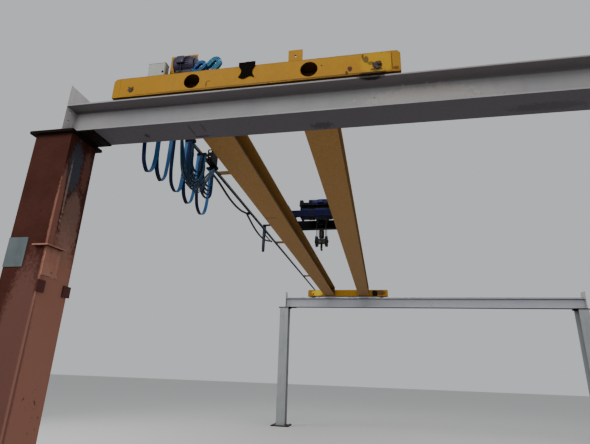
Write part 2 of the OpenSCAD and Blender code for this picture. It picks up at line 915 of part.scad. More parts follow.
// Route of the loop that hangs from the tow arm, from the arm's middle and the clamp's underside
hang_route = [[-31, 0], [-33, -135], [-33, -305], [-28, -435], [-15, -500], [4, -517],
  [22, -499], [33, -435], [36, -305], [35, -135], [32, 0]];

module trolley_cable() {
  color("#1a1d38")
    flat_cable(hang_x, [for (p = hang_route) [tow_y + p[0], tow_z - hang_clamp_h + p[1]]]);
}

// Ropes, block and hook

module hoist_ropes() {
  color("#2a2a2a")
    for (s = [-1, 1]) {
      translate([hoist_x + s * sheave_gap / 2, hook_y - fall_y, block_z])
        cylinder(r = rope_r, h = drum_z - block_z);
      translate([hoist_x + s * sheave_gap / 2, hook_y + fall_y, block_z])
        cylinder(r = rope_r, h = anchor_z - block_z);
    }
}

pin_r = 22.5;
sheave_w = 32;

module block_sheaves() {
  low_r = sheave_r - groove;
  color("#2b2722")
    for (s = [-1, 1])
      translate([hoist_x + s * sheave_gap / 2, hook_y, block_z])
        rotate([0, 90, 0])
          rotate_extrude($fn = 64)
            polygon([[pin_r + axle_fit, -sheave_w / 2], [sheave_r, -sheave_w / 2], [sheave_r, -11],
              [low_r, -4.5],
              [low_r, 4.5], [sheave_r, 11], [sheave_r, sheave_w / 2], [pin_r + axle_fit, sheave_w / 2]]);
}

house_w = 124;
house_d = 96;
house_h = 90;
shank_r = 20;
guard_t = 6;

module hook_block() {
  pin_len = sheave_gap / 2 + sheave_w / 2 + 5 + guard_t + 8;
  color("#1d1a18")
    translate([hoist_x, hook_y, block_z]) {
      difference() {
        union() {
          translate([-house_w / 2, -house_d / 2, -house_h / 2]) cube([house_w, house_d, house_h]);
          for (s = [-1, 1]) {
            translate([s * (30 + pin_len) / 2, 0, 0]) bar_x(pin_r, pin_len - 30);
            translate([s * (sheave_gap / 2 + sheave_w / 2 + 5 + guard_t / 2), 0, 0])
              bar_x(sheave_r + 8, guard_t);
          }
        }
        translate([0, 0, -house_h]) cylinder(r = shank_r + axle_fit, h = 2 * house_h);
      }
    }
}

bowl_z = -122;
bowl_r = 50;
hook_r = 18;
hook_sweep = 240;
nut_r = 33;
nut_h = 40;
latch_x = 34;
latch_z = bowl_z + 30;
latch_pin_r = 4;
latch_w = 30;
latch_t = 5;
latch_len = 43;
latch_lean = 11;

module hook() {
  color("#2a231c")
    translate([hoist_x, hook_y, block_z]) rotate([0, 0, 90]) {
      translate([0, 0, bowl_z + bowl_r - hook_r - 3])
        cylinder(r = shank_r, h = house_h / 2 + roll_gap - bowl_z - bowl_r + hook_r + 3);
      translate([0, 0, house_h / 2 + roll_gap]) cylinder(r = nut_r, h = nut_h);
      translate([0, 0, bowl_z])
        rotate([90, 0, 0])
          rotate([0, 0, 90])
            rotate_extrude(angle = hook_sweep) translate([bowl_r, 0]) circle(r = hook_r, $fn = 32);
      translate([0, 0, bowl_z])
        rotate([0, -(90 + hook_sweep), 0]) translate([bowl_r, 0, 0]) sphere(r = hook_r - 2, $fn = 32);
      translate([latch_x - 20, -8, latch_z - 2]) cube([20, 16, 10]);
      translate([latch_x, 0, latch_z]) bar_y(8, 16);
      translate([latch_x, 0, latch_z]) bar_y(latch_pin_r, latch_w + 4);
    }
}

// Latch that rests inside the hook's nose and swings inward
module hook_latch() {
  color("#3d3a36")
    translate([hoist_x, hook_y, block_z]) rotate([0, 0, 90]) translate([latch_x, 0, latch_z])
      rotate([0, latch_lean, 0])
      difference() {
        union() {
          translate([-latch_t / 2, -latch_w / 2, -latch_len]) cube([latch_t, latch_w, latch_len - 12]);
          for (s = [-1, 1])
            translate([-8, s * (latch_w / 2 - 2.5) - 2.5, -16]) cube([16, 5, 24]);
        }
        bar_y(latch_pin_r + axle_fit, latch_w + 6);
      }
}

near_columns();
far_columns();
base_plates();
cap_plates();
seat_plates();
column_cleat();
column_lugs();
column_side_plate();
near_runway();
far_runway();
crane_rails();
end_stops();
near_carriage();
far_carriage();
carriage_ends();
travel_axles();
left_travel_wheels();
right_travel_wheels();
left_girder();
right_girder();
girder_end_plates();
trolley_rails();
left_end_bracket();
right_end_bracket();
control_box();
near_travel_motor();
far_travel_motor();
festoon_track();
track_arms();
festoon_carriers();
festoon_runner();
junction_box();
festoon_loops();
festoon_bunch();
festoon_lead();
cable_bundle();
trolley_cable();
trolley_frame();
trolley_axles();
front_trolley_wheels();
rear_trolley_wheels();
drum_bearings();
rope_drum();
hoist_gearbox();
hoist_motor();
tow_arm();
hoist_ropes();
hook_block();
block_sheaves();
hook();
hook_latch();
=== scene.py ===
"""Dresses an overhead bridge crane on its CAD frame: finishes, cables, ropes and small parts.

Lengths are metres in the crane's own frame: +X along the runways, +Y along the girders from the
near row of columns to the far row, +Z up from the floor.
"""
import logging
import math
from collections.abc import Callable, Iterable, Iterator, Sequence
from contextlib import contextmanager
from dataclasses import dataclass, field
from enum import Enum

import bpy
from mathutils import Matrix, Vector


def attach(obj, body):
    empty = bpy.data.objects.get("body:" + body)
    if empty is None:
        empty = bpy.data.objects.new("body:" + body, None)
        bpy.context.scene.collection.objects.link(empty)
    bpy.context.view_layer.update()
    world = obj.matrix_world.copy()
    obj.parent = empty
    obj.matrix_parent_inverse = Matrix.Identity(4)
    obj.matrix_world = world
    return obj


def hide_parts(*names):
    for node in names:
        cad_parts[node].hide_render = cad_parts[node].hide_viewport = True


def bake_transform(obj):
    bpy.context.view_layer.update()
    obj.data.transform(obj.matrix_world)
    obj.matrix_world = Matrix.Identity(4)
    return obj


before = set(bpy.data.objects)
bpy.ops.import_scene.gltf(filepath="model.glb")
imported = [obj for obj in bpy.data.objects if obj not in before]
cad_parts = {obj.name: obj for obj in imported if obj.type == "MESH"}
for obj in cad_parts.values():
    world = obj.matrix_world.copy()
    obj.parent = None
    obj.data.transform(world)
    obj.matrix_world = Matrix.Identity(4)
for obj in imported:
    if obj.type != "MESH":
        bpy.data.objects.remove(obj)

LOG = logging.getLogger("crane")
Point = tuple[float, float, float]
Route = tuple[tuple[float, float], ...]
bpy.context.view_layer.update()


class Body(Enum):
    """The bodies that the pieces made here ride on."""

    RUNWAY = "runway"
    BRIDGE = "bridge"
    RUNNER = "runner"
    TROLLEY = "trolley"
    DRUM = "drum"
    BLOCK = "block"


class Pick(Enum):
    """What an edit selects."""

    FACES = 1
    EDGES = 2


# Finishes


def linear(code: str) -> tuple[float, float, float, float]:
    """Turns an sRGB hex colour into linear red, green, blue and alpha.

    Args:
        code: six hex digits, such as "b8892a".

    Returns:
        The colour as Blender's sockets take it.
    """
    channels = [int(code[i:i + 2], 16) / 255 for i in (0, 2, 4)]
    straight = [c / 12.92 if c <= 0.04045 else ((c + 0.055) / 1.055) ** 2.4 for c in channels]
    return (*straight, 1.0)


def feed(tree: bpy.types.NodeTree, node: bpy.types.Node, inputs: dict) -> None:
    """Gives a node's sockets their values and links.

    Args:
        tree: the material's node tree.
        node: the node.
        inputs: for each socket's name or number, a value or the socket that feeds it.
    """
    for key, value in inputs.items():
        if isinstance(value, bpy.types.NodeSocket):
            tree.links.new(value, node.inputs[key])
        else:
            node.inputs[key].default_value = value


def add(tree: bpy.types.NodeTree, kind: str, inputs: dict | None = None,
        **settings: object) -> bpy.types.Node:
    """Adds a shader node with its settings and its inputs.

    Args:
        tree: the material's node tree.
        kind: the node's type without "ShaderNode".
        inputs: for each socket's name or number, a value or the socket that feeds it.
        settings: the node's own properties.

    Returns:
        The new node.
    """
    node = tree.nodes.new("ShaderNode" + kind)
    for name, value in settings.items():
        setattr(node, name, value)
    feed(tree, node, inputs or {})
    return node


@dataclass(frozen=True)
class Finish:
    """A procedural finish, built once and shared.

    Attributes:
        name: the material's name.
        slot: the record's slot that it stands for; not used here.
    """

    name: str
    slot: str

    def material(self) -> bpy.types.Material:
        """Builds the material, or finds it if it is built already.

        Returns:
            The material.
        """
        if self.name in bpy.data.materials:
            return bpy.data.materials[self.name]
        material = bpy.data.materials.new(self.name)
        material.use_nodes = True
        tree = material.node_tree
        place = add(tree, "TexCoord").outputs["Object"]
        feed(tree, tree.nodes["Principled BSDF"], self.surface(tree, place))
        return material

    def surface(self, tree: bpy.types.NodeTree, place: bpy.types.NodeSocket) -> dict:
        """Lays out the nodes of the surface.

        Args:
            tree: the material's node tree.
            place: the object coordinates.

        Returns:
            What feeds each of the shader's sockets.
        """
        raise NotImplementedError


@dataclass(frozen=True)
class Mark:
    """One stain, splash, repaired place or patch of painted light on a face.

    Attributes:
        at: its middle.
        reach: half its size along X, Y and Z.
        colour: its sRGB hex colour.
        ragged: how far its edge wanders, from 0 to 1.
        strength: how far it covers what is under it.
    """

    at: Point
    reach: Point
    colour: str
    ragged: float = 0.5
    strength: float = 0.9

    def mask(self, tree: bpy.types.NodeTree, place: bpy.types.NodeSocket,
             wander: bpy.types.NodeSocket) -> bpy.types.NodeSocket:
        """Makes the mark's mask: its strength inside and 0 outside.

        Args:
            tree: the material's node tree.
            place: the object coordinates.
            wander: a noise from 0 to 1 that frays the edge.

        Returns:
            The socket that carries the mask.
        """
        offset = add(tree, "VectorMath", {0: place, 1: self.at}, operation="SUBTRACT")
        scaled = add(tree, "VectorMath", {0: offset.outputs[0], 1: self.reach}, operation="DIVIDE")
        distance = add(tree, "VectorMath", {0: scaled.outputs[0]}, operation="LENGTH")
        frayed = add(tree, "Math", {0: wander, 1: 3.4 * self.ragged, 2: distance.outputs["Value"]},
                     operation="MULTIPLY_ADD")
        edge = 0.95 + 1.7 * self.ragged
        inside = add(tree, "MapRange", {0: frayed.outputs[0], 1: edge + 0.12, 2: edge - 0.12,
                                        4: self.strength})
        return inside.outputs[0]


@dataclass(frozen=True)
class PaintedSteel(Finish):
    """Brushed or sprayed paint on rolled steel: dusty, chipped to rust, worn along its edges.

    The eye sees broad clouds of faded colour, thin runs down the upright faces, painted shade mottled with
    soil on the faces that look down and in hollows, small rusty chips, a painted highlight along the edges of
    a few finishes, and a paint film with a slight orange peel.

    Attributes:
        paint: the paint's colour.
        faded: the colour of its clouds.
        grime_and_shade: the colour of the runs' soil, and of the soil and painted shade mottled under it and
            in its hollows.
        under: the colour of the faces that look down, which is painted shade; on the girders it is lighter,
            which is painted light.
        rust: the colour of its chips and worn edges; where it is pale, on the girders and the trolley's
            frame, it is a painted highlight along the edges.
        chips: share of the surface that is chipped, from 0 to 1.
        runs: strength of the runs down its upright faces.
        clouds: strength of the faded clouds.
        cloud_mm: size of the clouds.
        roughness: the film's roughness.
        edge_wear_and_highlight: how far its edges are worn, and on the girders and the trolley's frame how
            far the painted highlight reaches along them.
        gloss: strength of the film's reflection.
        nook_shade_and_grime: how far its inner corners and hollows are darkened by soil and painted shade.
        marks: stains, and a few patches of painted light, at known places.
    """

    paint: str
    faded: str
    grime_and_shade: str
    under: str
    rust: str = "6b3a22"
    chips: float = 0.25
    runs: float = 0.3
    clouds: float = 0.5
    cloud_mm: float = 300
    roughness: float = 0.5
    edge_wear_and_highlight: float = 0.5
    gloss: float = 0.22
    nook_shade_and_grime: float = 0.7
    marks: tuple[Mark, ...] = ()

    def surface(self, tree: bpy.types.NodeTree, place: bpy.types.NodeSocket) -> dict:
        """Lays clouds, runs, soil, dust and painted shade, marks and worn places over the paint, one over
        another.

        Args:
            tree: the material's node tree.
            place: the object coordinates.

        Returns:
            What feeds each of the shader's sockets.
        """
        shape = add(tree, "NewGeometry")
        upward = add(tree, "SeparateXYZ", {0: shape.outputs["Normal"]}).outputs[2]
        broad = add(tree, "TexNoise", {"Vector": place, "Scale": 1000 / self.cloud_mm, "Detail": 5.0,
                                       "Roughness": 0.6}).outputs[0]
        fine = add(tree, "TexNoise", {"Vector": place, "Scale": 34.0, "Detail": 6.0,
                                      "Roughness": 0.68}).outputs[0]
        cloud = add(tree, "MapRange", {0: broad, 1: 0.38, 2: 0.66, 4: self.clouds}).outputs[0]
        worn = self.worn(tree, place, shape, broad)
        layers = [(cloud, self.faded), *self.dirt_and_shade(tree, place, upward, fine)]
        layers += [(mark.mask(tree, place, fine), mark.colour) for mark in self.marks]
        colour = linear(self.paint)
        for mask, code in (*layers, (worn, self.rust)):
            colour = add(tree, "Mix", {0: mask, 6: colour, 7: linear(code)}, data_type="RGBA").outputs[2]
        dull = add(tree, "MapRange", {0: fine, 1: 0.3, 2: 0.7, 3: self.roughness - 0.1,
                                      4: self.roughness + 0.14})
        rough = add(tree, "Mix", {0: worn, 2: dull.outputs[0], 3: 0.85})
        peel = add(tree, "TexNoise", {"Vector": place, "Scale": 160.0, "Detail": 3.0})
        film = add(tree, "Math", {0: worn, 1: -0.7, 2: peel.outputs[0]}, operation="MULTIPLY_ADD")
        bump = add(tree, "Bump", {"Strength": 0.28, "Distance": 0.0012, "Height": film.outputs[0]})
        return {"Base Color": colour, "Roughness": rough.outputs[0], "Normal": bump.outputs[0],
                "Specular IOR Level": self.gloss}

    def dirt_and_shade(self, tree: bpy.types.NodeTree, place: bpy.types.NodeSocket, upward: bpy.types.NodeSocket,
             fine: bpy.types.NodeSocket) -> list[tuple[bpy.types.NodeSocket, str]]:
        """Masks the runs on the upright faces, the painted shade on the faces that look down, soil and
        painted shade mottled under them and in hollows, and the dust above.

        Args:
            tree: the material's node tree.
            place: the object coordinates.
            upward: the normal's Z.
            fine: a fine noise.

        Returns:
            Each layer's mask and colour, the lowest first.
        """
        drawn = add(tree, "Mapping", {0: place, 3: (9.0, 9.0, 0.9)})
        streak = add(tree, "TexNoise", {"Vector": drawn.outputs[0], "Scale": 1.6, "Detail": 5.0,
                                        "Roughness": 0.6})
        run = add(tree, "MapRange", {0: streak.outputs[0], 1: 0.5, 2: 0.72, 4: self.runs})
        # painted shade: the faces that look down take the under colour
        below = add(tree, "MapRange", {0: upward, 1: -0.4, 2: -0.9})
        mottle = add(tree, "MapRange", {0: fine, 1: 0.45, 2: 0.75, 4: 0.2})
        # painted shade and soil: a mottle on the faces that look down
        underside_soil_and_shade = add(tree, "Math", {0: mottle.outputs[0], 1: below.outputs[0]}, operation="MULTIPLY")
        # painted shade and soil: ambient occlusion darkens inner corners and hollows
        occlusion = add(tree, "AmbientOcclusion", {"Distance": 0.12}, samples=4)
        hollow_soil_and_shade = add(tree, "MapRange", {0: occlusion.outputs["AO"], 1: 0.62, 2: 0.25, 4: self.nook_shade_and_grime})
        above = add(tree, "MapRange", {0: upward, 1: 0.5, 2: 0.95, 4: 0.55})
        dust = add(tree, "Math", {0: above.outputs[0], 1: fine}, operation="MULTIPLY")
        return [(run.outputs[0], self.grime_and_shade), (below.outputs[0], self.under),
                (underside_soil_and_shade.outputs[0], self.grime_and_shade), (hollow_soil_and_shade.outputs[0], self.grime_and_shade), (dust.outputs[0], "8d8478")]

    def worn(self, tree: bpy.types.NodeTree, place: bpy.types.NodeSocket, shape: bpy.types.Node,
             broad: bpy.types.NodeSocket) -> bpy.types.NodeSocket:
        """Masks the chips and the worn edges.

        Args:
            tree: the material's node tree.
            place: the object coordinates.
            shape: the Geometry node.
            broad: a broad noise, which gathers the chips.

        Returns:
            The socket that carries the mask, from 0 to 1.
        """
        speck = add(tree, "TexNoise", {"Vector": place, "Scale": 21.0, "Detail": 7.0, "Roughness": 0.72})
        gathered = add(tree, "Math", {0: broad, 1: 0.35, 2: speck.outputs[0]}, operation="MULTIPLY_ADD")
        limit = 1.02 - 0.3 * self.chips
        chip = add(tree, "MapRange", {0: gathered.outputs[0], 1: limit - 0.16, 2: limit - 0.13})
        # worn edges: on finishes with a pale edge colour this lays a painted highlight along the edges
        rounded = add(tree, "Bevel", {0: 0.006}, samples=4)
        same = add(tree, "VectorMath", {0: rounded.outputs[0], 1: shape.outputs["Normal"]},
                   operation="DOT_PRODUCT")
        edge = add(tree, "MapRange", {0: same.outputs["Value"], 1: 0.985, 2: 0.86})
        rubbed = add(tree, "MapRange", {0: speck.outputs[0], 1: 0.66 - 0.3 * self.edge_wear_and_highlight,
                                        2: 0.7 - 0.28 * self.edge_wear_and_highlight, 4: 0.85})
        bare = add(tree, "Math", {0: edge.outputs[0], 1: rubbed.outputs[0]}, operation="MULTIPLY")
        return add(tree, "Math", {0: chip.outputs[0], 1: bare.outputs[0]}, operation="MAXIMUM").outputs[0]


@dataclass(frozen=True)
class BareSteel(Finish):
    """Uncoated rolled or turned steel: dull and rusty, rubbed bright where wheels and ropes run.

    Attributes:
        bright: the colour of the rubbed metal.
        dull: the colour of the rust or scale.
        share: share of the surface that is dull, from 0 to 1.
        roughness: the rubbed metal's roughness.
        metallic: how metallic the rubbed metal is.
        grain_mm: spacing of the grain.
        grain_axis: stretch of the grain along X, Y and Z.
    """

    bright: str
    dull: str
    share: float = 0.5
    roughness: float = 0.38
    metallic: float = 0.85
    grain_mm: float = 40
    grain_axis: Point = (1.0, 1.0, 1.0)

    def surface(self, tree: bpy.types.NodeTree, place: bpy.types.NodeSocket) -> dict:
        """Draws scale and rust along the grain, over pitted metal.

        Args:
            tree: the material's node tree.
            place: the object coordinates.

        Returns:
            What feeds each of the shader's sockets.
        """
        drawn = add(tree, "Mapping", {0: place, 3: self.grain_axis})
        grain = add(tree, "TexNoise", {"Vector": drawn.outputs[0], "Scale": 1000 / self.grain_mm,
                                       "Detail": 6.0, "Roughness": 0.62})
        pits = add(tree, "TexNoise", {"Vector": place, "Scale": 220.0, "Detail": 3.0})
        scale = add(tree, "MapRange", {0: grain.outputs[0], 1: 0.78 - 0.5 * self.share,
                                       2: 0.86 - 0.42 * self.share}).outputs[0]
        colour = add(tree, "Mix", {0: scale, 6: linear(self.bright), 7: linear(self.dull)}, data_type="RGBA")
        metal = add(tree, "MapRange", {0: scale, 3: self.metallic, 4: 0.15})
        rough = add(tree, "MapRange", {0: scale, 3: self.roughness, 4: 0.82})
        bump = add(tree, "Bump", {"Strength": 0.25, "Distance": 0.0008, "Height": pits.outputs[0]})
        return {"Base Color": colour.outputs[2], "Metallic": metal.outputs[0], "Roughness": rough.outputs[0],
                "Normal": bump.outputs[0]}


@dataclass(frozen=True)
class Jacket(Finish):
    """Extruded cable jacket or moulded rubber: an even colour with a dusty bloom, painted shade where it
    faces down, and a soft gloss.

    Attributes:
        colour: the jacket's colour.
        bloom: the colour of the dust and of the rubbed places.
        roughness: its roughness.
        bloom_share: how much bloom shows, from 0 to 1.
        under: the painted shade where it faces down.
        rib_mm: spacing of a rope's lay or a jacket's ribs across Z, or 0 for none.
        gloss: strength of its reflection.
    """

    colour: str
    bloom: str
    roughness: float = 0.42
    bloom_share: float = 0.4
    under: str = "141726"
    rib_mm: float = 0.0
    gloss: float = 0.3

    def surface(self, tree: bpy.types.NodeTree, place: bpy.types.NodeSocket) -> dict:
        """Lays the bloom and the painted shade on the faces that look down over the jacket, with its grain or
        its ribs.

        Args:
            tree: the material's node tree.
            place: the object coordinates.

        Returns:
            What feeds each of the shader's sockets.
        """
        broad = add(tree, "TexNoise", {"Vector": place, "Scale": 9.0, "Detail": 5.0,
                                       "Roughness": 0.65}).outputs[0]
        bloom = add(tree, "MapRange", {0: broad, 1: 0.4, 2: 0.75, 4: self.bloom_share})
        side = add(tree, "SeparateXYZ", {0: add(tree, "NewGeometry").outputs["Normal"]})
        # painted shade: the faces that look down take the under colour
        below = add(tree, "MapRange", {0: side.outputs[2], 2: -0.8, 4: 0.9})
        colour = linear(self.colour)
        for mask, code in ((bloom, self.bloom), (below, self.under)):
            layer = add(tree, "Mix", {0: mask.outputs[0], 6: colour, 7: linear(code)}, data_type="RGBA")
            colour = layer.outputs[2]
        dull = add(tree, "MapRange", {0: broad, 1: 0.3, 2: 0.8, 3: self.roughness - 0.06,
                                      4: self.roughness + 0.25})
        if self.rib_mm:
            height = add(tree, "TexWave", {"Vector": place, "Scale": 50 / (self.rib_mm * math.pi),
                                           "Distortion": 0.0}, bands_direction="DIAGONAL").outputs[1]
        else:
            height = add(tree, "TexNoise", {"Vector": place, "Scale": 300.0, "Detail": 2.0}).outputs[0]
        bump = add(tree, "Bump", {"Strength": 0.35, "Distance": 0.0008, "Height": height})
        return {"Base Color": colour, "Roughness": dull.outputs[0], "Normal": bump.outputs[0],
                "Specular IOR Level": self.gloss}


# In each painted finish below, the fourth colour goes on the faces that look down as painted shade (as
# painted light on the girders), and ambient occlusion darkens hollows with the third colour as painted shade
# and soil
# Two-part box columns, brushed with red primer that has gone brown and patchy; the side face that looks +X is
# painted lighter as painted light, with paler and blue-grey patches on it
COLUMN_PRIMER = PaintedSteel(
    "column_red_primer", "column_red", "36180f", "42221a", "2a1713", "241411", rust="2b1611", chips=0.02,
    runs=0.35, clouds=0.8, cloud_mm=330, roughness=0.65, edge_wear_and_highlight=0.3, gloss=0.1,
    # painted light: the first mark lightens the whole side face that looks +X
    marks=(Mark((-4.1825, -5.8, 1.5), (0.03, 0.32, 1.28), "926455", 0.12, 0.85),
           Mark((-4.3, -5.975, 1.35), (0.2, 0.03, 1.15), "5f4039", 0.2, 0.75),
           Mark((-4.1825, -5.95, 2.78), (0.03, 0.04, 0.56), "7f5448", 0.2, 0.8),
           Mark((-4.1825, -5.77, 2.8), (0.03, 0.12, 0.34), "7c6056", 0.3, 0.6),
           Mark((-4.1825, -5.85, 3.32), (0.03, 0.085, 0.27), "343943", 0.6, 0.85),
           Mark((-4.1825, -5.7, 3.35), (0.03, 0.05, 0.22), "5c3931", 0.5, 0.7),
           Mark((-4.1825, -5.89, 3.1), (0.03, 0.012, 0.3), "8d7468", 0.6, 0.6),
           Mark((-4.1825, -5.86, 2.335), (0.03, 0.07, 0.016), "a5948a", 0.6, 0.7)))
# The same primer, brushed later and thinner on a plate that was welded on
FRESH_PRIMER = PaintedSteel(
    "patch_red_primer", "column_red", "90604f", "9c7060", "4d2a22", "331a16", rust="3a2019", chips=0.1,
    runs=0.4, clouds=0.7, cloud_mm=120, roughness=0.6, edge_wear_and_highlight=0.4)
# Rolled column sections in a thin light grey coat
COLUMN_GREY = PaintedSteel(
    "column_grey_paint", "column_grey", "8f9293", "9c9ea0", "5f6062", "66676a", chips=0.05, runs=0.25,
    roughness=0.55, edge_wear_and_highlight=0.3)
# Primed grey beams, dusty; their faces that look down are darker and mottled as painted shade and soil, and
# the near beam's top flange underside is painted lighter again as painted light
RUNWAY_GREY = PaintedSteel(
    "runway_grey_primer", "runway_grey", "7a797b", "8a8784", "54504f", "4a464b", rust="5e4238", chips=0.03,
    runs=0.08, clouds=0.6, cloud_mm=520, roughness=0.62, edge_wear_and_highlight=0.3, nook_shade_and_grime=0.25,
    marks=(Mark((-3.565, -5.77, 3.65), (0.022, 0.035, 0.02), "1c1417", 0.5, 0.8),
           Mark((-3.112, -5.8, 3.65), (0.01, 0.11, 0.02), "30262a", 0.4, 0.7),
           Mark((-2.99, -5.83, 3.65), (0.009, 0.08, 0.02), "30262a", 0.5, 0.7),
           Mark((-3.05, -5.69, 3.65), (0.07, 0.012, 0.02), "1e1416", 0.5, 0.85),
           # painted light: lightens the underside of the near beam's top flange
           Mark((0.25, -5.89, 3.926), (6.0, 0.09, 0.01), "6b6567", 0.1, 0.85),
           Mark((-1.52, -5.95, 3.936), (0.11, 0.05, 0.022), "14100f", 0.35, 0.95),
           Mark((-1.95, -5.72, 3.65), (0.1, 0.05, 0.02), "2a272c", 0.8, 0.7),
           Mark((-0.2, -5.75, 3.65), (0.28, 0.06, 0.02), "353136", 0.9, 0.6),
           Mark((-1.1, -5.8, 3.8), (0.45, 0.06, 0.1), "918c86", 0.8, 0.5),
           Mark((1.3, -5.8, 3.82), (0.7, 0.06, 0.08), "7c7774", 0.8, 0.5)))
# The far beam's primer, painted much lighter than the near beam's as painted light
FAR_RUNWAY_LIT_GREY = PaintedSteel(
    "far_runway_grey_primer_painted_light", "runway_grey", "b3b5bd", "bcbcbe", "77757a", "55525a",
    rust="5e4238", chips=0.03,
    runs=0.08, clouds=0.6, cloud_mm=520, roughness=0.62, edge_wear_and_highlight=0.3, nook_shade_and_grime=0.25)
# Thin pale primer on flame cut plate
STOP_GREY = PaintedSteel(
    "stop_plate_grey_paint", "runway_grey", "b4b2b2", "b0acaa", "6c6866", "78706c", rust="5a4238", chips=0.05,
    runs=0.3, clouds=0.5, roughness=0.55, edge_wear_and_highlight=0.3)
# Mill scale on plates that were never painted
SCALE_PLATE = PaintedSteel(
    "plate_mill_scale", "dark_plate", "0f0605", "1c100d", "0a0605", "140b09", rust="3a2018", chips=0.05,
    runs=0.3, roughness=0.7, edge_wear_and_highlight=0.4, gloss=0.06)
# Crane yellow enamel, sunned and greasy, with rust through it at a few places
CARRIAGE_YELLOW = PaintedSteel(
    "carriage_yellow_enamel", "carriage_yellow", "93690a", "89600c", "4a3312", "50380f", rust="4a2a16",
    chips=0.01, runs=0.1, clouds=0.6, cloud_mm=260, roughness=0.5, edge_wear_and_highlight=0.25, gloss=0.12,
    marks=(Mark((-1.478, -5.89, 4.115), (0.14, 0.02, 0.13), "9e7600", 0.1, 0.95),
           Mark((-1.31, -5.89, 4.11), (0.034, 0.02, 0.2), "86600c", 0.1, 0.9),
           Mark((-1.7, -5.89, 4.072), (0.02, 0.02, 0.027), "3a170a", 0.45, 0.95),
           Mark((-1.727, -5.89, 4.036), (0.012, 0.02, 0.022), "3f1b0c", 0.45, 0.9),
           Mark((-1.563, -5.89, 4.15), (0.026, 0.02, 0.034), "4a3d10", 0.45, 0.9),
           Mark((-1.525, -5.89, 4.11), (0.03, 0.02, 0.02), "54470f", 0.45, 0.85),
           Mark((-1.59, -5.89, 4.185), (0.01, 0.02, 0.025), "3a260c", 0.5, 0.8),
           Mark((-1.48, -5.89, 4.045), (0.055, 0.02, 0.016), "3c240f", 0.4, 0.85),
           Mark((-1.5, -5.89, 4.014), (0.13, 0.02, 0.01), "1a130a", 0.3, 0.9),
           Mark((-1.32, -5.89, 4.04), (0.026, 0.02, 0.022), "56300f", 0.5, 0.9),
           Mark((-1.352, -5.89, 4.11), (0.006, 0.02, 0.09), "4e2e0e", 0.3, 0.8),
           Mark((-2.985, -5.89, 4.062), (0.006, 0.02, 0.032), "3a260c", 0.25, 0.9),
           Mark((-2.966, -5.89, 4.094), (0.02, 0.02, 0.005), "3a260c", 0.25, 0.9),
           Mark((-1.94, -5.89, 4.137), (0.008, 0.02, 0.008), "2c2016", 0.2, 0.9),
           Mark((-3.735, -5.89, 4.086), (0.034, 0.02, 0.022), "553010", 0.4, 0.9),
           Mark((-3.0, -5.89, 4.02), (0.8, 0.02, 0.008), "3c2810", 0.4, 0.6),
           Mark((-1.9, -5.89, 4.02), (0.6, 0.02, 0.008), "2f1f0e", 0.4, 0.7),
           # painted light: a bright patch on the far carriage's inner face
           Mark((-3.6, 5.71, 4.12), (0.2, 0.03, 0.1), "d8ba2a", 0.2, 0.9),
           Mark((-1.52, 5.71, 4.12), (0.16, 0.03, 0.09), "4d3214", 0.4, 0.85)))
# The girders' dusty yellow, painted dark brown as painted shade; the faces that look down are lighter, as
# painted light, and the pale colour of the worn edges is a painted highlight
GIRDER_SHADED_YELLOW = PaintedSteel(
    "girder_yellow_painted_shade", "girder_yellow", "5c401b", "684a20", "2a1b0d", "85602b", rust="a68c5e", chips=0.0,
    runs=0.25, clouds=0.65, cloud_mm=380, roughness=0.58, edge_wear_and_highlight=0.2)
# Light grey enamel of a sheet steel switch box
BOX_GREY = PaintedSteel(
    "box_grey_enamel", "box_grey", "90928a", "858780", "55554f", "5c5c5a",
    rust="5a4238", chips=0.04, runs=0.3,
    roughness=0.45, edge_wear_and_highlight=0.3)
PLATE_GREY = PaintedSteel(
    "side_plate_grey_paint", "runway_grey", "4d5557", "5a6264", "343839", "3a3e40", rust="5a4238", chips=0.05,
    runs=0.35, clouds=0.7, cloud_mm=140, roughness=0.5, edge_wear_and_highlight=0.3)
MOTOR_VIOLET = PaintedSteel(
    "motor_violet_enamel", "motor_violet", "261f33", "332a40", "110e18", "15121f", rust="4c4656", chips=0.15,
    runs=0.3, roughness=0.5)
HOIST_BLUE = PaintedSteel(
    "hoist_blue_enamel", "hoist_blue", "0d1250", "161e5e", "060814", "080b28", rust="2e3148", chips=0.02,
    runs=0.25, roughness=0.45, gloss=0.2)
# Black machine enamel under a film of old oil and dust
MACHINE_BLACK = PaintedSteel(
    "machine_black_oily", "steel_dark", "05060c", "0a0b16", "030304", "040408", rust="1c1815", chips=0.03,
    runs=0.3, roughness=0.5, edge_wear_and_highlight=0.3, gloss=0.08)
# Navy enamel of the trolley's frame; the pale blue-grey of its worn edges is a painted highlight along them,
# and its rear bar is near black
FRAME_NAVY = PaintedSteel(
    "frame_navy_enamel", "steel_dark", "02052a", "060a36", "02030d", "030416", rust="343a66", chips=0.0,
    runs=0.3, roughness=0.5, edge_wear_and_highlight=0.9, gloss=0.06,
    marks=(Mark((-2.62, -0.55, 4.45), (0.75, 0.12, 0.2), "020206", 0.05, 1.0),))
LUG_RED = PaintedSteel(
    "lug_red_primer", "column_red", "471c16", "40201a", "200e0b", "1c0d0b",
    rust="2b1611", chips=0.05, runs=0.3)
RAIL_STEEL = BareSteel("rail_rolled_steel", "rail_steel", "84858a", "5a504b", 0.55, 0.34, 0.85, 60,
                       (0.4, 1.0, 1.0))
CROSS_RAIL_STEEL = BareSteel("cross_rail_rolled_steel", "rail_steel", "807c74", "4c3c2c", 0.6, 0.36, 0.85, 60,
                             (1.0, 0.4, 1.0))
WHEEL_IRON = BareSteel("wheel_cast_iron", "wheel_iron", "625a50", "452f20", 0.75, 0.45, 0.6, 35)
PIN_STEEL = BareSteel("pin_rusty_steel", "wheel_iron", "3c2f24", "2b190d", 0.8, 0.5, 0.25, 20)
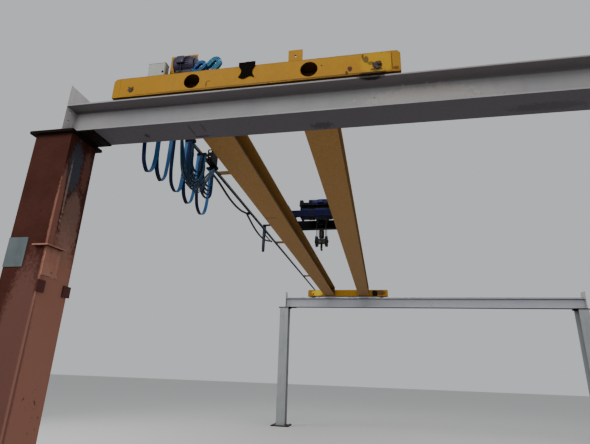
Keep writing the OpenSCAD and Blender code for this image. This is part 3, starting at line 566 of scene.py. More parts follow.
DARK_IRON = BareSteel("block_greased_iron", "steel_dark", "1c1a17", "0c0b09", 0.7, 0.42, 0.5, 30)
TRACK_STEEL = BareSteel("track_galvanised", "track_steel", "30333a", "1b1d21", 0.6, 0.45, 0.6, 50)
BOLT_STEEL = BareSteel("bolt_zinc_steel", "rail_steel", "77777a", "4a4038", 0.45, 0.4, 0.8, 12)
DARK_BOLT = BareSteel("bolt_rusted_steel", "rail_steel", "4a3c32", "2c1d14", 0.65, 0.5, 0.6, 12)
# In each jacket below, the last hex colour is painted shade on the faces that look down
ROPE_WIRE = Jacket("rope_greased_wire", "rope_steel", "1a1917", "3a3732", 0.4, 0.3, "0c0c0c", 5.0)
FLAT_BLUE = Jacket("flat_cable_blue", "cable_blue", "1c5790", "5a93b8", 0.42, 0.45, "151a38", gloss=0.2)
# The navy and dusk flat cables below are darker copies of the blue one: painted shade for the close-hung
# bunch and for the loops' outer side
FLAT_NAVY_SHADED = Jacket("flat_cable_navy_shaded", "cable_blue", "0b1b42", "1d4472", 0.45, 0.4, "080a18", gloss=0.15)
FLAT_DUSK_SHADED = Jacket("flat_cable_dusk_shaded", "cable_blue", "0c2748", "1d4a74", 0.45, 0.4, "080a18", gloss=0.15)
FLAT_TEAL = Jacket("flat_cable_teal", "cable_blue", "1f6f96", "5fa2b4", 0.42, 0.5, "123042")
ROUND_TEAL = Jacket("round_cable_teal", "cable_blue", "153f56", "35657a", 0.45, 0.45, "0c2230", gloss=0.15)
ROUND_BLACK = Jacket("round_cable_black", "cable_black", "090a10", "171a26", 0.45, 0.35, "05060a")
LOOP_NAVY = Jacket("hanging_cable_navy", "cable_black", "0d1030", "1d2348", 0.42, 0.3, "080a18")
MOULDED_BLACK = Jacket("moulded_black_plastic", "black_plastic", "0f0b0a", "231a16",
                       0.6, 0.4, "080605", gloss=0.08)
RAG_BLACK = Jacket("rubber_rag_black", "black_plastic", "080504", "15100c", 0.85, 0.5, "080605", gloss=0.05)
LABEL_WHITE = Jacket("tag_white_plastic", "black_plastic", "d8d6cf", "b9b4a8", 0.5, 0.3, "b9b4a8")

# Modelling


def deselect_all() -> None:
    """Goes to object mode with nothing selected."""
    if bpy.context.mode != "OBJECT":
        bpy.ops.object.mode_set(mode="OBJECT")
    bpy.ops.object.select_all(action="DESELECT")


def everything(_place: Vector, _way: Vector) -> bool:
    """Picks every face or edge."""
    return True


@contextmanager
def editing(piece: bpy.types.Object, pick: Pick, wanted: Callable[[Vector, Vector], bool]) -> Iterator[None]:
    """Opens a piece in edit mode with only the wanted faces or edges selected.

    Args:
        piece: the mesh object.
        pick: whether faces or edges are chosen.
        wanted: says of a face's centre and normal, or an edge's middle and direction, if it is chosen.
    """
    deselect_all()
    piece.select_set(True)
    bpy.context.view_layer.objects.active = piece
    bpy.ops.object.mode_set(mode="EDIT")
    bpy.context.tool_settings.mesh_select_mode = (False, pick is Pick.EDGES, pick is Pick.FACES)
    bpy.ops.mesh.select_all(action="DESELECT")
    bpy.ops.object.mode_set(mode="OBJECT")
    mesh = piece.data
    if pick is Pick.FACES:
        for face in mesh.polygons:
            face.select = wanted(face.center, face.normal)
    else:
        for edge in mesh.edges:
            first, last = (mesh.vertices[i] for i in edge.vertices)
            if wanted((first.co + last.co) / 2, (last.co - first.co).normalized()):
                edge.select = first.select = last.select = True
    bpy.ops.object.mode_set(mode="EDIT")
    yield
    bpy.ops.object.mode_set(mode="OBJECT")


def placed() -> bpy.types.Object:
    """Moves the active object's place into its mesh.

    Returns:
        The object, at the origin.
    """
    bpy.ops.object.transform_apply(location=True, rotation=True, scale=True)
    return bpy.context.active_object


def block(low: Point, high: Point, edge: float = 0.002) -> bpy.types.Object:
    """Makes a block between two corners, with rounded edges.

    Args:
        low: its lowest corner.
        high: its highest corner.
        edge: radius of its edges.

    Returns:
        The block.
    """
    deselect_all()
    low_corner, high_corner = Vector(low), Vector(high)
    bpy.ops.mesh.primitive_cube_add(size=1, location=(low_corner + high_corner) / 2)
    bpy.context.active_object.scale = high_corner - low_corner
    piece = placed()
    with editing(piece, Pick.EDGES, everything):
        bpy.ops.mesh.bevel(offset=edge, segments=2, affect="EDGES")
    return piece


def rod(start: Point, end: Point, radius: float, sides: int = 24, edge: float = 0.002) -> bpy.types.Object:
    """Makes a round bar between two points, with rounded rims.

    Args:
        start: the middle of one end.
        end: the middle of the other end.
        radius: the bar's radius.
        sides: faces round it.
        edge: radius of its rims.

    Returns:
        The bar.
    """
    deselect_all()
    axis = Vector(end) - Vector(start)
    bpy.ops.mesh.primitive_cylinder_add(
        vertices=sides, radius=radius, depth=axis.length, location=(Vector(start) + Vector(end)) / 2,
        rotation=axis.to_track_quat("Z", "Y").to_euler())
    piece = placed()
    along = axis.normalized()
    with editing(piece, Pick.EDGES, lambda _middle, way: abs(way.dot(along)) < 0.5):
        bpy.ops.mesh.bevel(offset=edge, segments=2, affect="EDGES")
    return piece


def joined(name: str, parts: Sequence[bpy.types.Object]) -> bpy.types.Object:
    """Joins parts into one piece.

    Args:
        name: the piece's name.
        parts: the objects to join.

    Returns:
        The joined object.
    """
    deselect_all()
    for part in parts:
        part.select_set(True)
    bpy.context.view_layer.objects.active = parts[0]
    if len(parts) > 1:
        bpy.ops.object.join()
    piece = placed()
    piece.name = piece.data.name = name
    return piece


def copies(pattern: bpy.types.Object, places: Iterable[Point]) -> list[bpy.types.Object]:
    """Copies a pattern made at the origin to each place.

    Args:
        pattern: the object to copy, which is then removed.
        places: where the copies go.

    Returns:
        The copies, each with its own mesh.
    """
    made = []
    for place in places:
        twin = pattern.copy()
        twin.data = pattern.data.copy()
        twin.location = place
        bpy.context.scene.collection.objects.link(twin)
        made.append(twin)
    bpy.data.objects.remove(pattern)
    return made


def dressed(name: str, parts: Sequence[bpy.types.Object], finish: Finish, body: Body) -> bpy.types.Object:
    """Joins parts into a finished piece with its material, its smooth faces and the body that it rides on.

    Args:
        name: the piece's name.
        parts: the objects to join.
        finish: its finish.
        body: the body that carries it.

    Returns:
        The piece.
    """
    piece = joined(name, parts)
    bpy.ops.object.shade_smooth_by_angle(angle=math.radians(38))
    piece.data.materials.clear()
    piece.data.materials.append(finish.material())
    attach(piece, body.value)
    LOG.info("made %s: %d faces on %s", name, len(piece.data.polygons), body.value)
    return piece


def stretched(name: str, path: Sequence[Vector], outline: Route, finish: Finish,
              ends: tuple[Body, Body]) -> bpy.types.Object:
    """Sweeps a cord that runs between two bodies.

    Args:
        name: the piece's name.
        path: its centreline.
        outline: its section.
        finish: its finish.
        ends: the bodies at its first and last end.

    Returns:
        The cord's mesh.
    """
    piece = joined(name, [swept(path, lambda _i: outline)])
    piece.data.materials.append(finish.material())
    bpy.ops.object.shade_smooth()
    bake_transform(piece)
    LOG.info("made %s: %d faces from %s to %s", name, len(piece.data.polygons), ends[0].value, ends[1].value)
    return piece


def bolts(name: str, seats: Iterable[Point], out: Point, thread: float, body: Body,
          finish: Finish = BOLT_STEEL) -> bpy.types.Object:
    """Makes hexagon bolt heads on washers, each with its thread's end.

    Args:
        name: the piece's name.
        seats: the points on the face that they stand on.
        out: the direction out of the face.
        thread: the thread's diameter.
        body: the body that carries them.
        finish: their finish.

    Returns:
        All the bolts as one piece.
    """
    way = Vector(out)
    flat = thread * 0.16
    head = flat + thread * 0.7
    washer = rod((0, 0, 0), way * flat, thread * 1.05, 16, thread * 0.05)
    hexagon = rod(way * flat, way * head, thread * 0.9, 6, thread * 0.1)
    stub = rod(way * head, way * (head + thread * 0.3), thread * 0.5, 10, thread * 0.08)
    return dressed(name, copies(joined(name, [washer, hexagon, stub]), seats), finish, body)


def weld(start: Point, end: Point, radius: float, cuts: int = 24) -> bpy.types.Object:
    """Makes an uneven bead of weld between two points.

    Args:
        start: where it starts.
        end: where it ends.
        radius: the bead's radius.
        cuts: ripples along it.

    Returns:
        The bead, not dressed yet.
    """
    bead = rod(start, end, radius, 8, radius * 0.4)
    along = (Vector(end) - Vector(start)).normalized()
    with editing(bead, Pick.EDGES, lambda _middle, way: abs(way.dot(along)) > 0.9):
        bpy.ops.mesh.subdivide(number_cuts=cuts)
        bpy.ops.mesh.select_all(action="SELECT")
        bpy.ops.transform.vertex_random(offset=radius * 0.3, seed=7)
    return bead


def smooth_route(points: Sequence[Point], steps: int = 6) -> list[Vector]:
    """Draws a smooth curve through points.

    Args:
        points: the points that it passes.
        steps: short lines in each stretch.

    Returns:
        The curve's points.
    """
    knots = [Vector(p) for p in points]
    gaps = [(b - a).length for a, b in zip(knots, knots[1:])]
    slopes = [(b - a) / gap for a, b, gap in zip(knots, knots[1:], gaps)]
    turns = [slopes[0]]
    for i in range(1, len(knots) - 1):
        turns.append((slopes[i - 1] * gaps[i] + slopes[i] * gaps[i - 1]) / (gaps[i - 1] + gaps[i]))
    turns.append(slopes[-1])
    path = []
    for i, gap in enumerate(gaps):
        for step in range(steps):
            t = step / steps
            path.append(knots[i] * (2 * t ** 3 - 3 * t ** 2 + 1) + turns[i] * gap * (t ** 3 - 2 * t ** 2 + t)
                        + knots[i + 1] * (3 * t ** 2 - 2 * t ** 3) + turns[i + 1] * gap * (t ** 3 - t ** 2))
    path.append(knots[-1])
    return path


def ring(radius: float, sides: int) -> Route:
    """Gives a round section.

    Args:
        radius: its radius.
        sides: its corners.

    Returns:
        The section's points.
    """
    return tuple((radius * math.cos(a), radius * math.sin(a))
                 for a in (math.tau * i / sides for i in range(sides)))


def fins(count: int, middle: Point, radius: float, half: Point, top: float,
         edge: float) -> list[bpy.types.Object]:
    """Sets cooling fins round a motor that lies along X.

    Args:
        count: the number of fins.
        middle: the middle of the motor's finned part.
        radius: distance of the fins' middle from its axis.
        half: half a fin's length, half its thickness, and how far it reaches in.
        top: how far it reaches out.
        edge: radius of its edges.

    Returns:
        The fins.
    """
    made = []
    for number in range(count):
        angle = math.tau * number / count
        out = Vector((0, math.cos(angle), math.sin(angle)))
        fin = block((-half[0], -half[1], -half[2]), (half[0], half[1], top), edge)
        turn = Matrix.Rotation(angle - math.pi / 2, 4, "X")
        fin.matrix_world = Matrix.Translation(Vector(middle) + out * radius) @ turn
        made.append(fin)
    return made


def swept(path: Sequence[Vector], section: Callable[[int], Route],
          across: Vector = Vector((1, 0, 0))) -> bpy.types.Object:
    """Sweeps a section along a path into a closed mesh.

    Args:
        path: the centreline's points.
        section: gives the section at point i, as offsets along the width and along the thickness.
        across: the direction of the width, the same all along.

    Returns:
        The swept mesh.
    """
    corners, faces = [], []
    last = len(path) - 1
    for i, point in enumerate(path):
        along = (path[min(i + 1, last)] - path[max(i - 1, 0)]).normalized()
        wide = (across - along * across.dot(along)).normalized()
        thick = along.cross(wide)
        corners.extend(point + wide * u + thick * v for u, v in section(i))
    count = len(section(0))
    for i in range(last):
        for j in range(count):
            k = (j + 1) % count
            faces.append((i * count + j, i * count + k, (i + 1) * count + k, (i + 1) * count + j))
    faces.append(tuple(range(count))[::-1])
    faces.append(tuple(last * count + j for j in range(count)))
    mesh = bpy.data.meshes.new("swept")
    mesh.from_pydata(corners, [], faces)
    piece = bpy.data.objects.new("swept", mesh)
    bpy.context.scene.collection.objects.link(piece)
    with editing(piece, Pick.FACES, everything):
        bpy.ops.mesh.normals_make_consistent(inside=False)
    return piece


# Cables


@dataclass
class Cable:
    """A cable that hangs between two holders.

    Attributes:
        name: the piece's name.
        route: the points that it passes.
        width: its diameter, or its width if it is flat.
        finish: its finish.
        node: the CAD node that it stands for.
        body: the body that carries it.
        thick: the thickness of a flat cable, or 0 for a round one.
        lean: how far a flat cable turns about its own line half way along, in degrees.
        lay: how it lies; not used.
        far_end: what its far end is; not used.
        outer: the darker finish of a flat cable's outer side, painted shade on the outside of its loops.
    """

    name: str
    route: Sequence[Point]
    width: float
    finish: Finish
    node: str
    body: Body = Body.BRIDGE
    thick: float = 0.0
    lean: float = 0.0
    lay: str = "hanging"
    far_end: str = "object"
    outer: Finish | None = None

    def section(self, share: float) -> Route:
        """Gives the outline at a share of the way along: a circle, or four cores side by side.

        Args:
            share: the share of the way, from 0 to 1.

        Returns:
            The outline's points.
        """
        if not self.thick:
            return ring(self.width / 2, 12)
        cores = 4
        top = []
        for core in range(cores):
            middle = (core + 0.5) / cores - 0.5
            for offset, height in ((-0.44, 0.33), (-0.2, 0.5), (0.2, 0.5), (0.44, 0.33)):
                top.append(((middle + offset / cores) * self.width, height * self.thick))
        outline = top + [(u, -v) for u, v in reversed(top)]
        turn = math.radians(self.lean) * math.sin(math.pi * share)
        return tuple((u * math.cos(turn) - v * math.sin(turn), u * math.sin(turn) + v * math.cos(turn))
                     for u, v in outline)

    def build(self, across: Vector = Vector((1, 0, 0)), steps: int = 6) -> bpy.types.Object:
        """Args:
            across: the direction of its width.
            steps: short lines in each stretch of its route.

        Returns:
            The cable's mesh.
        """
        path = smooth_route(self.route, steps)
        last = len(path) - 1
        cord = swept(path, lambda i: self.section(i / last), across)
        piece = dressed(self.name, [cord], self.finish, self.body)
        # painted shade: the outer side of a flat cable takes the darker finish
        if self.outer:
            piece.data.materials.append(self.outer.material())
            around = len(self.section(0.0))
            for face in piece.data.polygons:
                face.material_index = int(face.index % around < around // 2 - 1)
        self.declare()
        return piece

    def declare(self) -> None:
        """Hides the CAD solid that the cable stands for.
        """
        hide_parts(self.node)


@dataclass
class Festoon:
    """The cables on the track beside the left girder.

    Attributes:
        track_x: the track's middle.
        saddle_under: the underside of the saddles that the loops hang from.
        flat_width: the flat cable's width.
        flat_thick: the flat cable's thickness.
        lead_x: the plane of the round lead to the trolley.
        lead_width: the round lead's diameter.
        hang_x: the plane of the loop that hangs from the tow arm.
        inner_x: the plane of the close-hung flat loops.
        inner_width: the width of the close-hung flat cables.
        round_lanes: the planes of the close-hung round cables.
        round_width: their diameter.
        long_loops: routes of the five long loops along Y and Z.
        lead_route: route of the lead.
        hang_route: route of the loop at the tow arm.
        short_loops: Y of each short flat loop's ends, Z of its lowest point, and how far its strands
            draw together below their holders.
        round_routes: for each plane, the routes of its outermost and innermost round cables.
    """

    track_x: float = -3.7
    saddle_under: float = 4.17
    flat_width: float = 0.044
    flat_thick: float = 0.007
    lead_x: float = -3.743
    lead_width: float = 0.034
    hang_x: float = -3.796
    inner_x: float = -3.658
    inner_width: float = 0.034
    round_lanes: tuple[float, ...] = (-3.631, -3.613)
    round_width: float = 0.014
    long_loops: tuple[Route, ...] = (
        ((-5.568, 4.17), (-5.576, 4.0), (-5.58, 3.8), (-5.57, 3.62), (-5.535, 3.5), (-5.462, 3.44),
         (-5.385, 3.5), (-5.35, 3.62), (-5.344, 3.8), (-5.346, 4.0), (-5.35, 4.17)),
        ((-5.318, 4.17), (-5.326, 4.0), (-5.331, 3.8), (-5.316, 3.62), (-5.27, 3.51), (-5.19, 3.462),
         (-5.125, 3.53), (-5.098, 3.66), (-5.09, 3.82), (-5.084, 4.0), (-5.07, 4.17)),
        ((-5.036, 4.17), (-5.022, 4.0), (-5.014, 3.8), (-5.0, 3.64), (-4.955, 3.525), (-4.855, 3.478),
         (-4.765, 3.535), (-4.732, 3.65), (-4.722, 3.82), (-4.72, 4.0), (-4.721, 4.17)),
        ((-4.689, 4.17), (-4.69, 4.0), (-4.69, 3.8), (-4.675, 3.63), (-4.625, 3.51), (-4.535, 3.462),
         (-4.445, 3.52), (-4.4, 3.64), (-4.382, 3.82), (-4.374, 4.0), (-4.362, 4.17)),
        ((-4.328, 4.17), (-4.316, 4.0), (-4.31, 3.8), (-4.295, 3.64), (-4.24, 3.52), (-4.13, 3.468),
         (-4.025, 3.525), (-3.975, 3.65), (-3.955, 3.82), (-3.948, 4.0), (-3.945, 4.17)))
    lead_route: Route = (
        (-3.97, 4.187), (-3.76, 4.19), (-3.58, 4.184), (-3.42, 4.168), (-3.24, 4.142), (-3.02, 4.118),
        (-2.8, 4.11), (-2.58, 4.118), (-2.38, 4.14), (-2.23, 4.17), (-2.13, 4.187), (-2.03, 4.17),
        (-1.88, 4.138), (-1.7, 4.104), (-1.5, 4.078), (-1.3, 4.064), (-1.1, 4.064), (-0.9, 4.08),
        (-0.7, 4.112), (-0.5, 4.16), (-0.37, 4.196), (-0.29, 4.21))
    hang_route: Route = (
        (-0.771, 4.385), (-0.773, 4.25), (-0.773, 4.08), (-0.768, 3.95), (-0.755, 3.885), (-0.736, 3.868),
        (-0.718, 3.886), (-0.707, 3.95), (-0.704, 4.08), (-0.705, 4.25), (-0.708, 4.385))
    short_loops: tuple[tuple[float, float, float, float], ...] = (
        (-4.728, -4.362, 3.64, -0.012), (-4.72, -4.37, 3.685, 0.004), (-4.712, -4.356, 3.735, 0.018),
        (-4.704, -4.348, 3.78, 0.034), (-4.696, -4.34, 3.83, 0.05), (-4.688, -4.332, 3.885, 0.068),
        (-4.324, -3.966, 3.69, -0.004), (-4.318, -3.958, 3.745, 0.012), (-4.312, -3.95, 3.8, 0.028),
        (-4.306, -3.942, 3.86, 0.044))
    round_routes: tuple[tuple[Route, Route], ...] = (
        (((-4.727, 4.17), (-4.738, 4.02), (-4.745, 3.86), (-4.72, 3.72), (-4.66, 3.64), (-4.54, 3.612),
          (-4.42, 3.64), (-4.32, 3.715), (-4.22, 3.84), (-4.1, 3.98), (-4.0, 4.09), (-3.93, 4.17)),
         ((-4.68, 4.17), (-4.66, 4.04), (-4.645, 3.93), (-4.61, 3.83), (-4.56, 3.775), (-4.49, 3.752),
          (-4.42, 3.765), (-4.35, 3.815), (-4.28, 3.895), (-4.18, 3.995), (-4.07, 4.095), (-3.975, 4.17))),
        (((-5.072, 4.17), (-5.035, 4.0), (-4.99, 3.83), (-4.945, 3.71), (-4.865, 3.63), (-4.73, 3.596),
          (-4.58, 3.612), (-4.46, 3.685), (-4.395, 3.8), (-4.37, 3.94), (-4.364, 4.06), (-4.362, 4.17)),
         ((-5.034, 4.17), (-4.975, 4.01), (-4.905, 3.88), (-4.845, 3.79), (-4.765, 3.73), (-4.665, 3.706),
          (-4.56, 3.725), (-4.48, 3.785), (-4.415, 3.88), (-4.37, 3.99), (-4.345, 4.08), (-4.33, 4.17))))

    def build(self) -> None:
        """Builds the loops, the round cables, the lead, the hanging loop and the spare hanks."""
        for letter, loop, lean in zip("abcde", self.long_loops, (5, -6, 8, -6, 4)):
            Cable(f"long_loop_{letter}", [(self.track_x, y, z) for y, z in loop], self.flat_width, FLAT_BLUE,
                  "festoon_loops", thick=self.flat_thick, lean=lean, outer=FLAT_NAVY_SHADED).build()
        for number, (near, far, low, spread) in enumerate(self.short_loops):
            Cable(f"short_loop_{number}", self.hung_route(near, far, low, spread), self.inner_width,
                  FLAT_DUSK_SHADED if number % 2 else FLAT_NAVY_SHADED, "festoon_bunch", thick=self.flat_thick,
                  outer=FLAT_NAVY_SHADED).build(steps=3)
        self.round_cables()
        self.lead()
        Cable("hanging_loop", [(self.hang_x, y, z) for y, z in self.hang_route], self.flat_width, LOOP_NAVY,
              "trolley_cable", Body.TROLLEY, self.flat_thick).build()
        self.hanks()

    def hung_route(self, near: float, far: float, low: float, spread: float) -> list[Point]:
        """Lays out a short loop between two holders.

        Args:
            near: Y of its first strand's clamp.
            far: Y of its last strand's clamp.
            low: Z of its lowest point.
            spread: how far each strand draws in below its clamp.

        Returns:
            Its points.
        """
        middle, half = (near + far) / 2, (far - near) / 2 - spread
        round_z = low + half * 0.8
        upper = (self.saddle_under + round_z) / 2
        turn = [(middle - half * math.cos(a), round_z - half * 0.8 * math.sin(a))
                for a in (math.pi * i / 8 for i in range(9))]
        strands = [(near, self.saddle_under), (near + 0.6 * spread, self.saddle_under - 0.07),
                   (near + spread, upper), *turn, (far - spread, upper),
                   (far - 0.6 * spread, self.saddle_under - 0.07), (far, self.saddle_under)]
        return [(self.inner_x, y, z) for y, z in strands]

    def round_cables(self) -> None:
        """Builds the nested round cables between the third, fourth, fifth and last carriers."""
        count = 5
        for lane_number, (lane, (outer, inner)) in enumerate(zip(self.round_lanes, self.round_routes)):
            for number in range(count):
                share = number / (count - 1)
                share += 0.05 * math.sin(math.pi * share) * math.sin(5 * number + 2 * lane_number)
                route = [(lane, a[0] + share * (b[0] - a[0]), a[1] + share * (b[1] - a[1]))
                         for a, b in zip(outer, inner)]
                finish = ROUND_TEAL if (number + lane_number) % 3 else FLAT_NAVY_SHADED
                Cable(f"round_cable_{lane_number}{number}", route, self.round_width, finish,
                      "festoon_bunch").build(steps=4)

    def lead(self) -> None:
        """Builds the round lead that runs from the bridge to the trolley."""
        route = [(self.lead_x, y, z) for y, z in self.lead_route]
        cable = Cable("trolley_lead", route, self.lead_width, ROUND_BLACK, "festoon_lead")
        path = smooth_route(route)
        piece = stretched(cable.name, path, cable.section(0.0), cable.finish, (Body.BRIDGE, Body.TROLLEY))
        cable.declare()

    def hanks(self) -> None:
        """Builds the hanks of spare flat cable that stand on the near carriage."""
        self.wound("spare_hank_blue", (-3.092, -5.842, 4.292), 0.03, 3, 48, FLAT_BLUE)
        self.wound("spare_hank_teal", (-2.984, -5.806, 4.318), 0.052, 4, 40, FLAT_TEAL)
        self.wound("spare_hank_back", (-3.05, -5.768, 4.306), 0.046, 4, 62, FLAT_TEAL)

    def wound(self, name: str, middle: Point, straight: float, turns: int, lean: float,
              finish: Finish) -> None:
        """Winds flat cable into an oval hank that leans along the carriage.

        Args:
            name: the piece's name.
            middle: the hank's middle.
            straight: half the straight part of a turn.
            turns: number of turns.
            lean: how far its long axis leans from upright, in degrees.
            finish: the cable's finish.
        """
        pitch, core, steps = 0.0125, 0.014, 16
        turn = math.radians(lean)
        route = []
        for step in range(turns * steps, -1, -1):
            angle = math.tau * step / steps - math.pi / 2
            radius = core + pitch * step / steps
            rise = math.sin(angle)
            lift = math.copysign(straight, rise) if abs(rise) > 1e-6 else 0.0
            across, along = radius * math.cos(angle), radius * rise + lift
            route.append((middle[0] + across * math.cos(turn) + along * math.sin(turn), middle[1],
                          middle[2] + along * math.cos(turn) - across * math.sin(turn)))
        Cable(name, route, self.inner_width, finish, "cable_bundle", thick=self.flat_thick, lay="coiled",
              far_end="bare").build(Vector((0, 1, 0)), 2)


# Steelwork


@dataclass
class Columns:
    """The four columns: their bolts and welds.

    Attributes:
        near_x: X of the near columns.
        far_x: X of the far columns.
        row_y: half the distance between the rows.
        anchor: distance of the anchor bolts from a column's middle.
        base_top: Z of the base plates' top.
        cap_under: Z of the cap plates' underside.
    """

    near_x: tuple[float, ...] = (-4.3675, 4.7125)
    far_x: tuple[float, ...] = (-4.7125, 4.3675)
    row_y: float = 5.8
    anchor: float = 0.235
    base_top: float = 0.025
    cap_under: float = 3.613

    def build(self) -> None:
        """Builds the anchor bolts and the weld beads at both ends of the box columns."""
        places = [(x, -self.row_y) for x in self.near_x] + [(x, self.row_y) for x in self.far_x]
        seats = [(x + dx * self.anchor, y + dy * self.anchor, self.base_top)
                 for x, y in places for dx in (-1, 1) for dy in (-1, 1)]
        bolts("anchor_bolts", seats, (0, 0, 1), 0.024, Body.RUNWAY, DARK_BOLT)
        self.welds()

    def welds(self) -> None:
        """Lays weld beads round the feet and heads of the box columns."""
        beads = []
        for x in self.near_x:
            for z in (self.base_top + 0.002, self.cap_under - 0.002):
                for side in (-1, 1):
                    beads.append(weld((x - 0.185, -self.row_y + side * 0.176, z),
                                      (x + 0.185, -self.row_y + side * 0.176, z), 0.006))
                    beads.append(weld((x + side * 0.186, -self.row_y - 0.175, z),
                                      (x + side * 0.186, -self.row_y + 0.175, z), 0.006))
        dressed("column_end_welds", beads, COLUMN_PRIMER, Body.RUNWAY)


@dataclass
class Runways:
    """The two runway beams: the bolts on their seats, and the welds of their rails and stops.

    Attributes:
        near_x: X of the near columns.
        far_x: X of the far columns.
        row_y: half the distance between the rows.
        flange_top: Z of the lower flange's upper face.
        rail_foot: Z of the rail's foot.
        near_span: X of the near beam's ends.
        far_span: X of the far beam's ends.
        weld_gap: distance between the rails' weld beads.
    """

    near_x: tuple[float, ...] = (-4.2575, 4.7125)
    far_x: tuple[float, ...] = (-4.6025, 4.3675)
    row_y: float = 5.8
    flange_top: float = 3.664
    rail_foot: float = 3.94
    near_span: tuple[float, float] = (-4.3425, 4.8475)
    far_span: tuple[float, float] = (-4.6875, 4.5025)
    weld_gap: float = 0.6

    def build(self) -> None:
        """Builds the seats' bolts, the rails' welds and the stops' welds."""
        seats = [(x + dx * 0.055, row * self.row_y + dy * 0.11, self.flange_top)
                 for row, xs in ((-1, self.near_x), (1, self.far_x)) for x in xs
                 for dx in (-1, 1) for dy in (-1, 1)]
        bolts("seat_bolts", seats, (0, 0, 1), 0.02, Body.RUNWAY)
        self.rail_welds()
        self.stop_welds()

    def rail_welds(self) -> None:
        """Lays short weld beads along both feet of each rail."""
        bead = weld((-0.05, 0, 0), (0.05, 0, 0), 0.004, 10)
        places = []
        for row, (start, end) in ((-1, self.near_span), (1, self.far_span)):
            count = int((end - start - 0.4) / self.weld_gap)
            for i in range(count + 1):
                for side in (-1, 1):
                    places.append((start + 0.2 + i * self.weld_gap, row * self.row_y + side * 0.0265,
                                   self.rail_foot + 0.002))
        dressed("rail_welds", copies(bead, places), SCALE_PLATE, Body.RUNWAY)

    def stop_welds(self) -> None:
        """Lays the welds between each beam's end and its stop plate."""
        beads = []
        for row, (start, end) in ((-1, self.near_span), (1, self.far_span)):
            for x in (start + 0.003, end - 0.003):
                for side in (-1, 1):
                    y = row * self.row_y + side * 0.0065
                    beads.append(weld((x, y, 3.665), (x, y, 3.925), 0.0035, 14))
                y = row * self.row_y
                beads.append(weld((x, y - 0.149, 3.665), (x, y + 0.149, 3.665), 0.0035, 14))
        dressed("stop_welds", beads, RUNWAY_GREY, Body.RUNWAY)


@dataclass
class EndCarriages:
    """The two end carriages: axle keepers, a worn boss, drive flanges, plate joints and bolts.

    Attributes:
        row_y: half the distance between the carriages.
        half: half a carriage's width.
        wheel_x: X of the wheels' axles.
        wheel_z: Z of the axles.
        box: X of the box's two ends, where the end plates are welded on.
        side_z: Z of the lower and upper edges of the side faces.
        girder_x: X of the girders.
    """

    row_y: float = 5.8
    half: float = 0.09
    wheel_x: tuple[float, float] = (-3.735, -1.465)
    wheel_z: float = 4.0803
    box: tuple[float, float] = (-3.858, -1.342)
    side_z: tuple[float, float] = (4.009, 4.216)
    girder_x: tuple[float, float] = (-3.18, -2.06)

    def build(self) -> None:
        """Builds the keepers, the plate joints, the girders' bolts, the worn boss and the flanges."""
        self.keepers()
        self.joints()
        self.girder_bolts()
        self.knob()
        self.drives()

    def keepers(self) -> None:
        """Screws a small keeper plate beside each axle's end."""
        plates = []
        heads = []
        for row in (-1, 1):
            for x in self.wheel_x:
                for side in (-1, 1):
                    y = row * self.row_y + side * self.half
                    plates.append(block((x - 0.026, min(y, y + side * 0.004), self.wheel_z + 0.017),
                                        (x + 0.026, max(y, y + side * 0.004), self.wheel_z + 0.036), 0.001))
                    heads += [(x - 0.018, y + side * 0.004, self.wheel_z + 0.028),
                              (x + 0.018, y + side * 0.004, self.wheel_z + 0.028)]
        dressed("axle_keepers", plates, CARRIAGE_YELLOW, Body.BRIDGE)
        near = [h for h in heads if (h[1] < -self.row_y) or (0 < h[1] < self.row_y)]
        far = [h for h in heads if h not in near]
        bolts("keeper_screws_near", near, (0, -1, 0), 0.006, Body.BRIDGE, DARK_BOLT)
        bolts("keeper_screws_far", far, (0, 1, 0), 0.006, Body.BRIDGE, DARK_BOLT)

    def joints(self) -> None:
        """Lays the weld beads where the end plates meet the box, curved as the plates are cut."""
        beads = []
        low, high = self.side_z
        for row in (-1, 1):
            y = row * (self.row_y + self.half - 0.001)
            for x, bulge in zip(self.box, (0.018, -0.018)):
                steps = [(x + bulge * (0.5 - 2 * (i / 6 - 0.5) ** 2), y,
                          low + 0.004 + (high - low - 0.008) * i / 6)
                         for i in range(7)]
                beads += [weld(a, b, 0.003, 4) for a, b in zip(steps, steps[1:])]
            beads.append(weld((self.box[0], y, high - 0.001), (self.box[1], y, high - 0.001), 0.0025, 60))
            beads.append(weld((self.box[0], y, low + 0.001), (self.box[1], y, low + 0.001), 0.0025, 60))
        dressed("carriage_welds", beads, CARRIAGE_YELLOW, Body.BRIDGE)

    def girder_bolts(self) -> None:
        """Bolts each girder's end plate to the inner face of its carriage."""
        for row, name in ((-1, "near"), (1, "far")):
            y = row * (self.row_y - 0.105)
            seats = [(x + dx, y, z) for x in self.girder_x for dx in (-0.1, 0.1) for z in (4.055, 4.165)]
            bolts(f"girder_bolts_{name}", seats, (0, -row, 0), 0.02, Body.BRIDGE, DARK_BOLT)

    def knob(self) -> None:
        """Builds up the worn boss round the axle's end on the repainted part of the near carriage."""
        y = -self.row_y - self.half
        boss = rod((-1.469, y, 4.084), (-1.469, y - 0.01, 4.084), 0.036, 14, 0.004)
        with editing(boss, Pick.EDGES, everything):
            bpy.ops.transform.vertex_random(offset=0.004, seed=3)
        nut = rod((-1.455, y - 0.008, 4.094), (-1.455, y - 0.024, 4.094), 0.018, 6)
        tab = block((-1.512, y - 0.006, 4.07), (-1.48, y + 0.001, 4.112), 0.003)
        dressed("worn_boss", [boss, nut, tab], PIN_STEEL, Body.BRIDGE)

    def drives(self) -> None:
        """Sets the drives' flanges on the inner faces of the carriages."""
        for row, name, x in ((-1, "near", -3.56), (1, "far", -1.7)):
            y = row * (self.row_y - self.half)
            inner = -row
            flange = rod((x, y, 4.104), (x, y + inner * 0.012, 4.104), 0.058)
            barrel = rod((x, y + inner * 0.012, 4.104), (x, y + inner * 0.026, 4.104), 0.046)
            dressed(f"drive_flange_{name}", [flange, barrel], MACHINE_BLACK, Body.BRIDGE)


